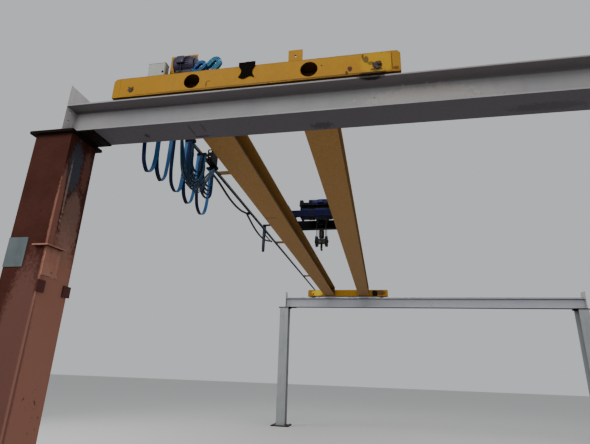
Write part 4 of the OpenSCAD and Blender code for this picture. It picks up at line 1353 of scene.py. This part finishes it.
@dataclass
class TopGear:
    """What is on the near carriage: the switch box, the travel motor, wires, straps and an offcut.

    Attributes:
        box_low: lowest corner of the switch box.
        box_high: its highest corner.
        motor_x: X of the motor's ends.
        motor_y: Y of its axis.
        motor_z: Z of its axis.
        motor_radius: its radius.
        top: Z of the carriage's top.
    """

    box_low: Point = (-3.643, -5.8, 4.216)
    box_high: Point = (-3.468, -5.735, 4.43)
    motor_x: tuple[float, float] = (-3.335, -3.145)
    motor_y: float = -5.8
    motor_z: float = 4.35
    motor_radius: float = 0.092
    top: float = 4.216

    def build(self) -> None:
        """Builds the box's door, the motor's dress, the wires, the offcut and the brackets' welds."""
        self.door()
        self.motor()
        self.wires()
        self.rag()
        self.bracket_welds()

    def door(self) -> None:
        """Puts a door with a folded edge, hinges, a lock and cable glands on the switch box."""
        (x0, y0, z0), (x1, y1, z1) = self.box_low, self.box_high
        door = block((x0 + 0.006, y0 - 0.006, z0 + 0.008), (x1 - 0.006, y0, z1 - 0.006), 0.0015)
        with editing(door, Pick.FACES, lambda _c, n: n.y < -0.99):
            bpy.ops.mesh.inset(thickness=0.01, depth=-0.002)
        hinges = [rod((x0 + 0.004, y0 - 0.004, z), (x0 + 0.004, y0 - 0.004, z + 0.028), 0.004, 12, 0.0008)
                  for z in (z0 + 0.03, z1 - 0.06)]
        hood = block((x0 - 0.003, y0 - 0.008, z1 - 0.006), (x1 + 0.003, y1 + 0.003, z1), 0.0015)
        dressed("switch_box_door", [door, *hinges, hood], BOX_GREY, Body.BRIDGE)
        lock = rod((x1 - 0.02, y0 - 0.006, (z0 + z1) / 2), (x1 - 0.02, y0 - 0.014, (z0 + z1) / 2), 0.009,
                   20, 0.001)
        glands = []
        x, z = x1 - 0.001, z0 + 0.03
        for y in (y0 + 0.018, y0 + 0.046):
            glands.append(rod((x, y, z), (x + 0.012, y, z), 0.0105, 6, 0.001))
            glands.append(rod((x + 0.012, y, z), (x + 0.022, y, z), 0.008, 16, 0.001))
        dressed("switch_box_lock", [lock, *glands], MOULDED_BLACK, Body.BRIDGE)

    def motor(self) -> None:
        """Gives the travel motor its fins, cowl, end shield, terminal cover and bolts."""
        start, end = self.motor_x
        radius = self.motor_radius
        ribs = fins(28, ((start + end) / 2 - 0.006, self.motor_y, self.motor_z), radius + 0.0005,
                    (0.058, 0.0015, 0.004), 0.0045, 0.0007)
        shield = rod((end - 0.004, self.motor_y, self.motor_z), (end + 0.016, self.motor_y, self.motor_z),
                     radius * 0.78, 40, 0.005)
        boss = rod((end + 0.016, self.motor_y, self.motor_z), (end + 0.024, self.motor_y, self.motor_z),
                   radius * 0.34, 24, 0.002)
        cowl = rod((start - 0.01, self.motor_y, self.motor_z), (start + 0.04, self.motor_y, self.motor_z),
                   radius + 0.003, 40, 0.006)
        with editing(cowl, Pick.FACES, lambda _c, n: n.x < -0.99):
            bpy.ops.mesh.inset(thickness=0.012, depth=-0.004)
            bpy.ops.mesh.inset(thickness=0.016, depth=0.002)
            bpy.ops.mesh.inset(thickness=0.016, depth=-0.002)
        dressed("motor_castings", [*ribs, shield, boss, cowl], MOTOR_VIOLET, Body.BRIDGE)
        seats = [(end + 0.016, self.motor_y + 0.058 * math.cos(a), self.motor_z + 0.058 * math.sin(a))
                 for a in (math.pi * k / 2 + 0.5 for k in range(4))]
        bolts("motor_shield_bolts", seats, (1, 0, 0), 0.007, Body.BRIDGE)
        feet = [(x, self.motor_y + dy, self.top + 0.0001) for x in (start + 0.028, end - 0.028)
                for dy in (-0.072, 0.072)]
        bolts("motor_feet_bolts", feet, (0, 0, 1), 0.008, Body.BRIDGE)
        cover = block((-3.3, self.motor_y - radius - 0.024, 4.318),
                      (-3.226, self.motor_y - radius + 0.02, 4.392), 0.005)
        with editing(cover, Pick.FACES, lambda _c, n: n.y < -0.99):
            bpy.ops.mesh.inset(thickness=0.006, depth=0.002)
        dressed("cover", [cover], MOTOR_VIOLET, Body.BRIDGE)
        screws = [(x, self.motor_y - radius - 0.026, z) for x in (-3.288, -3.238) for z in (4.33, 4.38)]
        bolts("terminal_box_screws", screws, (0, -1, 0), 0.004, Body.BRIDGE)

    def wires(self) -> None:
        """Leads two wires from the switch box and straps the hanks."""
        top = self.top
        routes = (
            ("box_wire", ((-3.452, -5.782, 4.246), (-3.42, -5.79, 4.246), (-3.385, -5.842, 4.228),
                          (-3.33, -5.868, 4.23), (-3.272, -5.874, 4.252), (-3.262, -5.892, 4.32)), 0.01),
            ("spare_wire", ((-3.452, -5.754, 4.246), (-3.425, -5.752, 4.24), (-3.38, -5.744, 4.224),
                            (-3.25, -5.722, 4.222), (-3.12, -5.73, 4.224), (-3.07, -5.748, 4.246)), 0.012))
        for name, route, width in routes:
            Cable(name, route, width, ROUND_BLACK if name == "box_wire" else FLAT_TEAL, "cable_bundle",
                  lay="loose").build(steps=5)
        straps = [block((x - 0.009, -5.874, top + 0.0003), (x + 0.009, -5.744, top + 0.0025), 0.0006)
                  for x in (-3.05, -2.985)]
        straps.append(block((-3.026, -5.868, 4.2985), (-3.018, -5.738, 4.3015), 0.0008))
        dressed("hank_straps", straps, MOULDED_BLACK, Body.BRIDGE)

    def rag(self) -> None:
        """Folds a stiff black rubber offcut over the near carriage's upper edge."""
        deselect_all()
        bpy.ops.mesh.primitive_grid_add(x_subdivisions=22, y_subdivisions=26, size=1,
                                        location=(-2.609, -5.86, 4.218))
        bpy.context.active_object.scale = (0.126, 0.3, 1)
        rag = placed()
        face = self.motor_y - 0.09
        for corner in rag.data.vertices:
            run = corner.co.y + 6.01
            spread = corner.co.x + 2.609
            ripple = 0.003 * math.sin(spread * 95 + 1) + 0.002 * math.sin(spread * 41 + 2)
            if run < 0.17:
                corner.co.y = face - 0.006 - abs(ripple)
                corner.co.z = 4.09 + run + 0.012 * math.sin(spread * 61) * (1 - run / 0.17)
                corner.co.x += spread * (0.22 - 0.42 * math.sin(math.pi * min(run / 0.12, 1)))
            elif run < 0.21:
                corner.co.y = face + 0.9 * (run - 0.17)
                corner.co.z = 4.26 - 0.9 * (run - 0.17) + abs(ripple)
            else:
                corner.co.y = face + 0.036 + 0.6 * (run - 0.21)
                corner.co.z = 4.2195 + abs(ripple) * 0.5
        with editing(rag, Pick.FACES, everything):
            bpy.ops.mesh.normals_make_consistent(inside=False)
        skin = rag.modifiers.new("skin", "SOLIDIFY")
        skin.thickness = 0.003
        skin.offset = 0.0
        bpy.context.view_layer.objects.active = rag
        bpy.ops.object.modifier_apply(modifier=skin.name)
        dressed("rubber_offcut", [rag], RAG_BLACK, Body.BRIDGE)

    def bracket_welds(self) -> None:
        """Lays the weld beads at the feet of the two upright brackets."""
        beads = [weld((x0, y, z), (x1, y, z), 0.004, 16)
                 for x0, x1, y, z in ((-3.48, -3.205, -5.692, 4.312), (-3.48, -3.205, -5.674, 4.312),
                                      (-2.282, -2.147, -5.692, 4.312), (-2.282, -2.147, -5.674, 4.312))]
        beads.append(weld((-3.35, -5.672, 4.312), (-3.35, -5.575, 4.312), 0.004, 10))
        dressed("bracket_welds", beads, GIRDER_SHADED_YELLOW, Body.BRIDGE)


@dataclass
class Girders:
    """The two bridge girders: their welds, their rails' beads and the track's bolts.

    Attributes:
        girder_x: X of the girders.
        half_y: half their length.
        under: Z of their underside.
        top: Z of their top.
        arm_y: Y of the arms that carry the track.
    """

    girder_x: tuple[float, float] = (-3.18, -2.06)
    half_y: float = 5.695
    under: float = 4.009
    top: float = 4.309
    arm_y: tuple[float, ...] = (-3.62, 0.0, 3.62)

    def build(self) -> None:
        """Builds the rails' beads, the track's bolts, the end welds and the splice's weld."""
        bead = weld((0, -0.04, 0), (0, 0.04, 0), 0.0035, 8)
        places = [(x + side * 0.0218, -5.4 + i * 0.6, self.top + 0.002)
                  for x in self.girder_x for side in (-1, 1) for i in range(19)]
        dressed("cross_rail_welds", copies(bead, places), GIRDER_SHADED_YELLOW, Body.BRIDGE)
        seats = [(-3.7, y + dy, 4.256) for y in self.arm_y for dy in (-0.013, 0.013)]
        bolts("track_bolts", seats, (0, 0, 1), 0.008, Body.BRIDGE)
        self.end_welds()
        self.splice()

    def end_welds(self) -> None:
        """Lays the welds between the girders and their end plates."""
        beads = []
        for x in self.girder_x:
            for row in (-1, 1):
                y = row * (self.half_y - 0.002)
                for side in (-1, 1):
                    beads.append(weld((x + side * 0.0085, y, self.under + 0.022),
                                      (x + side * 0.0085, y, self.top - 0.022), 0.004, 14))
                beads.append(weld((x - 0.165, y, self.under + 0.021), (x + 0.165, y, self.under + 0.021),
                                  0.004, 16))
        dressed("girder_end_welds", beads, GIRDER_SHADED_YELLOW, Body.BRIDGE)

    def splice(self) -> None:
        """Lays the rusty butt weld across a part of the left girder's lower flange."""
        x = self.girder_x[0]
        bead = weld((x - 0.15, -2.361, self.under), (x + 0.03, -2.361, self.under), 0.004, 20)
        dressed("girder_splice_weld", [bead], PIN_STEEL, Body.BRIDGE)


@dataclass
class FestoonHardware:
    """The small parts of the festoon: the carriers' bolts and the junction box's dress.

    Attributes:
        carrier_y: Y of the fixed carriers.
        runner_y: Y of the runner.
        saddle: Z of a saddle's underside and top.
        track_x: X of the track's middle.
    """

    carrier_y: tuple[float, ...] = (-5.585, -5.334, -5.053, -4.705, -4.345, -3.95)
    runner_y: float = -2.13
    saddle: tuple[float, float] = (4.17, 4.204)
    track_x: float = -3.7

    def build(self) -> None:
        """Builds the carriers' bolts, and the junction box's cover, screws, tags and glands."""
        low, high = self.saddle
        middle = (low + high) / 2
        seats = [(-3.722, y, middle) for y in self.carrier_y]
        bolts("carrier_bolts", seats, (-1, 0, 0), 0.008, Body.BRIDGE)
        bolts("runner_bolt", [(self.track_x, self.runner_y, low)], (0, 0, -1), 0.008, Body.RUNNER)
        cover = block((-3.683, -4.136, 4.212), (-3.678, -3.964, 4.366), 0.001)
        with editing(cover, Pick.FACES, lambda _c, n: n.x < -0.99):
            bpy.ops.mesh.inset(thickness=0.012, depth=0.003)
        dressed("junction_box_cover", [cover], MOULDED_BLACK, Body.BRIDGE)
        corners = [(-3.686, y, z) for y in (-4.124, -3.976) for z in (4.224, 4.354)]
        bolts("junction_box_screws", corners, (-1, 0, 0), 0.005, Body.BRIDGE)
        tags = [block((-3.66, -4.1425, 4.33), (-3.63, -4.1405, 4.352), 0.0006),
                block((-3.652, -4.1425, 4.262), (-3.636, -4.1405, 4.272), 0.0006)]
        dressed("junction_box_tags", tags, LABEL_WHITE, Body.BRIDGE)
        glands = [rod((x, -4.141, 4.226), (x, -4.156, 4.226), 0.009, 12, 0.001) for x in (-3.66, -3.634)]
        dressed("junction_box_glands", glands, MOULDED_BLACK, Body.BRIDGE)


@dataclass
class Trolley:
    """The trolley and its hoist: drum grooves, motor dress, gearbox covers, ropes, sockets, a supply cable, a
    limit switch and bolts.

    Attributes:
        hoist_x: X of the hoist's middle.
        drum_y: Y of the drum's axis.
        drum_z: Z of the drum's axis.
        drum_radius: the drum's radius.
        rope_radius: the rope's radius.
        fall_x: distance of the rope falls from the hoist's middle.
        front_y: Y of the falls that rise to the drum.
        rear_y: Y of the falls that rise to the anchor plate.
        anchor_z: Z of the anchor plate's underside.
        block_z: Z of the block's sheaves.
    """

    hoist_x: float = -2.59
    drum_y: float = -1.1416
    drum_z: float = 4.49
    drum_radius: float = 0.11
    rope_radius: float = 0.006
    fall_x: float = 0.086
    front_y: float = -1.0253
    rear_y: float = -0.8247
    anchor_z: float = 4.474
    block_z: float = 4.0

    def build(self) -> None:
        """Builds the ropes first, then the drum, the motor, the gearbox and the frame's bolts."""
        self.ropes()
        self.wiring()
        self.windings()
        self.anchors()
        self.motor()
        self.gearbox()
        self.frame_bolts()
        self.tow_arm()
        self.switch()

    def ropes(self) -> None:
        """Sweeps the four falls between the trolley and the block."""
        for y, top, name in ((self.front_y, self.drum_z, "front"), (self.rear_y, self.anchor_z, "rear")):
            for side in (-1, 1):
                x = self.hoist_x + side * self.fall_x
                rise = top - 0.001 - self.block_z
                path = [Vector((x, y, self.block_z + rise * i / 30)) for i in range(31)]
                piece = stretched(f"rope_{name}_{'left' if side < 0 else 'right'}", path,
                                  ring(self.rope_radius, 10), ROPE_WIRE, (Body.BLOCK, Body.TROLLEY))
                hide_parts("hoist_ropes")

    def windings(self) -> None:
        """Winds rope on both halves of the drum and rings its ends with empty grooves."""
        pitch, turns = 0.0145, 8
        reach = self.front_y - self.drum_y
        for side in (-1, 1):
            start = self.hoist_x + side * (self.fall_x + 2 * self.rope_radius + 0.001)
            path = []
            for i in range(turns * 24 + 1):
                angle = math.tau * i / 24
                x = start + side * pitch * i / 24
                path.append(Vector((x, self.drum_y + reach * math.cos(angle),
                                    self.drum_z + reach * math.sin(angle))))
            rope = swept(path, lambda _i: ring(self.rope_radius, 8))
            dressed(f"drum_rope_{'left' if side < 0 else 'right'}", [rope], ROPE_WIRE, Body.DRUM)
        rims = []
        for i in range(8):
            for side in (-1, 1):
                x = self.hoist_x + side * (0.232 + i * 0.0112)
                rims.append(rod((x - 0.003, self.drum_y, self.drum_z), (x + 0.003, self.drum_y, self.drum_z),
                                self.drum_radius + 0.003, 48, 0.0022))
        dressed("drum_grooves", rims, HOIST_BLUE, Body.DRUM)

    def anchors(self) -> None:
        """Hangs the ropes' dead ends under the anchor plate in wedge sockets."""
        parts = []
        for side in (-1, 1):
            x = self.hoist_x + side * self.fall_x
            parts.append(rod((x, self.rear_y, self.anchor_z - 0.062), (x, self.rear_y, self.anchor_z), 0.016,
                             20, 0.004))
            parts.append(rod((x - 0.02, self.rear_y, self.anchor_z - 0.012),
                             (x + 0.02, self.rear_y, self.anchor_z - 0.012), 0.01, 16, 0.002))
            parts.append(rod((x, self.rear_y, 4.494), (x, self.rear_y, 4.508), 0.017, 6, 0.001))
            parts.append(rod((x, self.rear_y, 4.508), (x, self.rear_y, 4.52), 0.01, 16, 0.001))
        dressed("rope_sockets", parts, DARK_IRON, Body.TROLLEY)

    def motor(self) -> None:
        """Gives the hoist motor its fins, cowl, brake, terminal box and foot bolts."""
        x, y, z = self.hoist_x + 0.005, self.drum_y, 4.718
        ribs = fins(24, (x + 0.045, y, z), 0.0625, (0.085, 0.0012, 0.003), 0.004, 0.0006)
        cowl = rod((x + 0.124, y, z), (x + 0.16, y, z), 0.0655, 40, 0.006)
        with editing(cowl, Pick.FACES, lambda _c, n: n.x > 0.99):
            bpy.ops.mesh.inset(thickness=0.01, depth=-0.003)
            bpy.ops.mesh.inset(thickness=0.014, depth=0.0015)
        brake = rod((x - 0.158, y, z), (x - 0.12, y, z), 0.064, 40, 0.005)
        box = block((x - 0.045, y - 0.1, z - 0.03), (x + 0.055, y - 0.05, z + 0.034), 0.004)
        with editing(box, Pick.FACES, lambda _c, n: n.y < -0.99):
            bpy.ops.mesh.inset(thickness=0.006, depth=0.002)
        dressed("hoist_motor_castings", [*ribs, brake, box], HOIST_BLUE, Body.TROLLEY)
        dressed("hoist_motor_cowl", [cowl], MOULDED_BLACK, Body.TROLLEY)
        seats = [(x + dx, y + dy, 4.686) for dx in (-0.08, 0.085) for dy in (-0.052, 0.052)]
        bolts("hoist_motor_bolts", seats, (0, 0, 1), 0.008, Body.TROLLEY)

    def gearbox(self) -> None:
        """Covers the gearbox, with screws, a breather and an oil glass, and bolts the deck."""
        x = self.hoist_x
        covers = []
        heads = []
        for low, high in ((-0.39, -0.325), (-0.215, -0.15)):
            cover = block((x + low + 0.004, self.drum_y - 0.066, 4.751), (x + high - 0.004,
                          self.drum_y + 0.066, 4.757), 0.0015)
            covers.append(cover)
            heads += [(x + px, self.drum_y + py, 4.757) for px in (low + 0.012, high - 0.012)
                      for py in (-0.056, 0.0, 0.056)]
        covers.append(rod((x - 0.27, self.drum_y + 0.03, 4.696), (x - 0.27, self.drum_y + 0.03, 4.722),
                          0.01, 16, 0.002))
        covers.append(rod((x - 0.3, self.drum_y - 0.09, 4.671), (x - 0.3, self.drum_y - 0.096, 4.671),
                          0.012, 20, 0.001))
        dressed("gearbox_covers", covers, MACHINE_BLACK, Body.TROLLEY)
        bolts("gearbox_screws", heads, (0, 0, 1), 0.006, Body.TROLLEY)
        deck = [(x + px, self.drum_y + py, 4.646) for px in (-0.378, -0.13, 0.18, 0.378)
                for py in (-0.098, 0.098)]
        bolts("deck_bolts", deck, (0, 0, 1), 0.01, Body.TROLLEY)

    def frame_bolts(self) -> None:
        """Caps and bolts the drum's bearings, and bolts the trolley's frame."""
        for side, name in ((-1, "left"), (1, "right")):
            x = self.hoist_x + side * 0.3668
            seats = [(x, self.drum_y + 0.052 * math.cos(a), self.drum_z + 0.052 * math.sin(a))
                     for a in (math.pi * k / 3 for k in range(6))]
            cap = rod((x, self.drum_y, self.drum_z), (x + side * 0.01, self.drum_y, self.drum_z), 0.068,
                      36, 0.003)
            dressed(f"bearing_cap_{name}", [cap], MACHINE_BLACK, Body.TROLLEY)
            bolts(f"bearing_bolts_{name}", [(px + side * 0.01, py, pz) for px, py, pz in seats],
                  (side, 0, 0), 0.007, Body.TROLLEY, DARK_BOLT)
        tops = [(gx + side * 0.03, y, 4.544) for gx, side in ((-3.18, 1), (-2.06, -1))
                for y in (-1.14, -0.71)]
        bolts("frame_top_bolts", tops, (0, 0, 1), 0.012, Body.TROLLEY, DARK_BOLT)

    def wiring(self) -> None:
        """Leads the supply cable along the frame from the tow arm to the hoist's motor."""
        Cable("hoist_supply", ((-3.24, -0.74, 4.447), (-3.19, -0.745, 4.49), (-3.13, -0.78, 4.556),
                               (-3.03, -0.86, 4.556), (-2.975, -0.96, 4.6), (-2.92, -1.02, 4.66),
                               (-2.8, -1.03, 4.664), (-2.68, -1.03, 4.676), (-2.61, -1.045, 4.7),
                               (-2.585, -1.078, 4.716)), 0.016, ROUND_BLACK, "trolley_cable", Body.TROLLEY,
              lay="loose").build(steps=4)

    def tow_arm(self) -> None:
        """Bolts the tow arm together and clamps the cables on it."""
        seats = [(-3.764, -0.74, z) for z in (4.372, 4.232)]
        bolts("tow_arm_bolts", seats, (-1, 0, 0), 0.01, Body.TROLLEY)
        seats = [(-3.764, y, 4.21) for y in (-0.3, -0.5)]
        bolts("drag_bar_bolts", seats, (-1, 0, 0), 0.008, Body.TROLLEY)
        seats = [(-3.822, y, 4.397) for y in (-0.762, -0.718)]
        bolts("clamp_bolts", seats, (-1, 0, 0), 0.006, Body.TROLLEY)

    def switch(self) -> None:
        """Hangs the hoist's limit switch under the frame beside the falls."""
        x = self.hoist_x
        box = block((x - 0.045, self.drum_y + 0.142, 4.33), (x + 0.03, self.drum_y + 0.196, 4.42), 0.003)
        stem = rod((x - 0.008, self.drum_y + 0.17, 4.42), (x - 0.008, self.drum_y + 0.17, 4.476), 0.012, 16)
        arm = rod((x - 0.008, self.drum_y + 0.17, 4.33), (x - 0.008, self.drum_y + 0.17, 4.292), 0.006, 12)
        dressed("limit_switch", [box, stem, arm], MACHINE_BLACK, Body.TROLLEY)


@dataclass
class HookBlock:
    """The hook block: the ropes round its sheaves, its pin's nuts, a striker weight and screws.

    Attributes:
        hoist_x: X of the hoist's middle.
        y: Y of the block's middle.
        z: Z of its sheaves.
        fall_x: distance of the sheaves from the middle.
        sheave_radius: radius at the bottom of the rope's turn.
        rope_radius: the rope's radius.
    """

    hoist_x: float = -2.59
    y: float = -0.925
    z: float = 4.0
    fall_x: float = 0.086
    sheave_radius: float = 0.1003
    rope_radius: float = 0.006

    def build(self) -> None:
        """Builds the ropes' turns under the sheaves, the nuts, the striker weight and the screws."""
        for side, name in ((-1, "left"), (1, "right")):
            path = [Vector((self.hoist_x + side * self.fall_x, self.y - self.sheave_radius * math.cos(a),
                            self.z - self.sheave_radius * math.sin(a)))
                    for a in (math.pi * i / 28 for i in range(29))]
            rope = swept(path, lambda _i: ring(self.rope_radius, 10))
            dressed(f"sheave_rope_{name}", [rope], ROPE_WIRE, Body.BLOCK)
            x = self.hoist_x + side * 0.1205
            nut = rod((x, self.y, self.z), (x + side * 0.012, self.y, self.z), 0.03, 6, 0.002)
            dressed(f"pin_nut_{name}", [nut], PIN_STEEL, Body.BLOCK)
        weight = rod((self.hoist_x, self.y, 4.07), (self.hoist_x, self.y, 4.225), 0.05, 28, 0.01)
        ears = [rod((self.hoist_x, self.y - 0.012, z), (self.hoist_x, self.y + 0.012, z), 0.016, 16, 0.003)
                for z in (4.06, 4.232)]
        dressed("striker_weight", [weight, *ears], DARK_IRON, Body.BLOCK)
        heads = [(self.hoist_x + dx, self.y - 0.048, self.z + dz) for dx in (-0.046, 0.046)
                 for dz in (-0.032, 0.032)]
        bolts("block_screws", heads, (0, -1, 0), 0.009, Body.BLOCK, DARK_BOLT)


@dataclass
class CadFinishes:
    """The finishes of the CAD solids that show as they are."""

    finishes: dict[str, Finish] = field(default_factory=lambda: {
        "near_columns": COLUMN_PRIMER, "column_lugs": LUG_RED, "far_columns": COLUMN_GREY,
        "base_plates": SCALE_PLATE, "cap_plates": SCALE_PLATE, "seat_plates": SCALE_PLATE,
        "column_cleat": FRESH_PRIMER, "column_side_plate": PLATE_GREY,
        "near_runway": RUNWAY_GREY, "far_runway": FAR_RUNWAY_LIT_GREY, "end_stops": STOP_GREY,
        "crane_rails": RAIL_STEEL, "trolley_rails": CROSS_RAIL_STEEL,
        "near_carriage": CARRIAGE_YELLOW, "far_carriage": CARRIAGE_YELLOW, "carriage_ends": CARRIAGE_YELLOW,
        "left_end_bracket": CARRIAGE_YELLOW, "right_end_bracket": CARRIAGE_YELLOW,
        "travel_axles": PIN_STEEL, "trolley_axles": PIN_STEEL,
        "left_travel_wheels": WHEEL_IRON, "right_travel_wheels": WHEEL_IRON,
        "front_trolley_wheels": WHEEL_IRON, "rear_trolley_wheels": WHEEL_IRON,
        "left_girder": GIRDER_SHADED_YELLOW, "right_girder": GIRDER_SHADED_YELLOW, "girder_end_plates": GIRDER_SHADED_YELLOW,
        "track_arms": GIRDER_SHADED_YELLOW, "control_box": BOX_GREY, "near_travel_motor": MOTOR_VIOLET,
        "far_travel_motor": MACHINE_BLACK, "festoon_track": TRACK_STEEL, "festoon_carriers": MOULDED_BLACK,
        "festoon_runner": MOULDED_BLACK, "junction_box": MOULDED_BLACK, "trolley_frame": FRAME_NAVY,
        "drum_bearings": MACHINE_BLACK, "rope_drum": HOIST_BLUE, "hoist_gearbox": MACHINE_BLACK,
        "hoist_motor": HOIST_BLUE, "tow_arm": MACHINE_BLACK, "hoist_ropes": ROPE_WIRE,
        "hook_block": DARK_IRON, "block_sheaves": DARK_IRON, "hook": DARK_IRON, "hook_latch": DARK_IRON})

    def build(self) -> None:
        """Puts each finish into its solid's material slots."""
        for node, finish in self.finishes.items():
            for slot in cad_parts[node].material_slots:
                slot.material = finish.material()


@dataclass
class Studio:
    """The floor, the soft lights and the camera at the photograph's angle.

    Attributes:
        lens_px: the focal length in pixels of a frame 590 wide.
        frame_px: the frame's width and height.
        centre_px: where the lens's axis meets the frame.
        eye: the camera's place.
        turn: its heading, from +Y towards +X, in radians.
        tilt: how far it looks up, in radians.
        roll: how far it leans, in radians.
        floor_side: side of the square floor.
    """

    lens_px: float = 437.2
    frame_px: tuple[float, float] = (590.0, 444.0)
    centre_px: tuple[float, float] = (290.4, 211.5)
    eye: Point = (-1.515, -8.976, 1.678)
    turn: float = -0.209
    tilt: float = 0.3452
    roll: float = 0.0341
    floor_side: float = 90.0

    def build(self) -> None:
        """Makes the camera, the floor and the lights."""
        self.camera()
        self.floor()
        self.lights()

    def camera(self) -> None:
        """Makes the camera that looks up at the bridge from below the near runway."""
        data = bpy.data.cameras.new("camera")
        width, height = self.frame_px
        data.sensor_width = 36.0
        data.lens = self.lens_px * data.sensor_width / width
        data.shift_x = (width / 2 - self.centre_px[0]) / width
        data.shift_y = (self.centre_px[1] - height / 2) / width
        data.clip_end = 200.0
        camera = bpy.data.objects.new("camera", data)
        bpy.context.scene.collection.objects.link(camera)
        ahead = Vector((math.sin(self.turn) * math.cos(self.tilt), math.cos(self.turn) * math.cos(self.tilt),
                        math.sin(self.tilt)))
        right = Vector((math.cos(self.turn), -math.sin(self.turn), 0))
        up = right.cross(ahead)
        leaned_right = right * math.cos(self.roll) + up * math.sin(self.roll)
        leaned_up = up * math.cos(self.roll) - right * math.sin(self.roll)
        rows = [(leaned_right[i], leaned_up[i], -ahead[i], self.eye[i]) for i in range(3)]
        camera.matrix_world = Matrix((*rows, (0, 0, 0, 1)))
        bpy.context.scene.camera = camera

    def floor(self) -> None:
        """Lays a plain pale floor."""
        deselect_all()
        bpy.ops.mesh.primitive_plane_add(size=self.floor_side, location=(0, 0, 0))
        floor = placed()
        floor.name = "studio_floor"
        material = bpy.data.materials.new("floor_pale")
        material.use_nodes = True
        shader = material.node_tree.nodes["Principled BSDF"]
        shader.inputs["Base Color"].default_value = linear("c4c4c2")
        shader.inputs["Roughness"].default_value = 0.9
        floor.data.materials.append(material)

    def lights(self) -> None:
        """Hangs broad soft lights above the crane, and a pale sky round it."""
        world = bpy.data.worlds.new("studio_sky")
        bpy.context.scene.world = world
        world.use_nodes = True
        sky = world.node_tree.nodes["Background"]
        sky.inputs["Color"].default_value = linear("dfe1e4")
        sky.inputs["Strength"].default_value = 0.75
        for name, place, size, power in (("light_front", (-4.0, -14.0, 7.5), 7.0, 900.0),
                                         ("light_left", (-12.0, 0.0, 6.0), 6.0, 350.0),
                                         ("light_over", (0.0, 0.0, 13.0), 10.0, 700.0)):
            data = bpy.data.lights.new(name, "AREA")
            data.size = size
            data.energy = power
            light = bpy.data.objects.new(name, data)
            light.location = place
            aim = Vector((-1.0, -2.0, 3.5)) - Vector(place)
            light.rotation_euler = aim.to_track_quat("-Z", "Y").to_euler()
            bpy.context.scene.collection.objects.link(light)


def main() -> None:
    """Builds the crane's looks piece by piece."""
    logging.basicConfig(level=logging.INFO, format="%(name)s: %(message)s")
    Studio().build()
    Festoon().build()
    CadFinishes().build()
    Columns().build()
    Runways().build()
    EndCarriages().build()
    TopGear().build()
    Girders().build()
    FestoonHardware().build()
    Trolley().build()
    HookBlock().build()


if __name__ == "__main__":
    main()
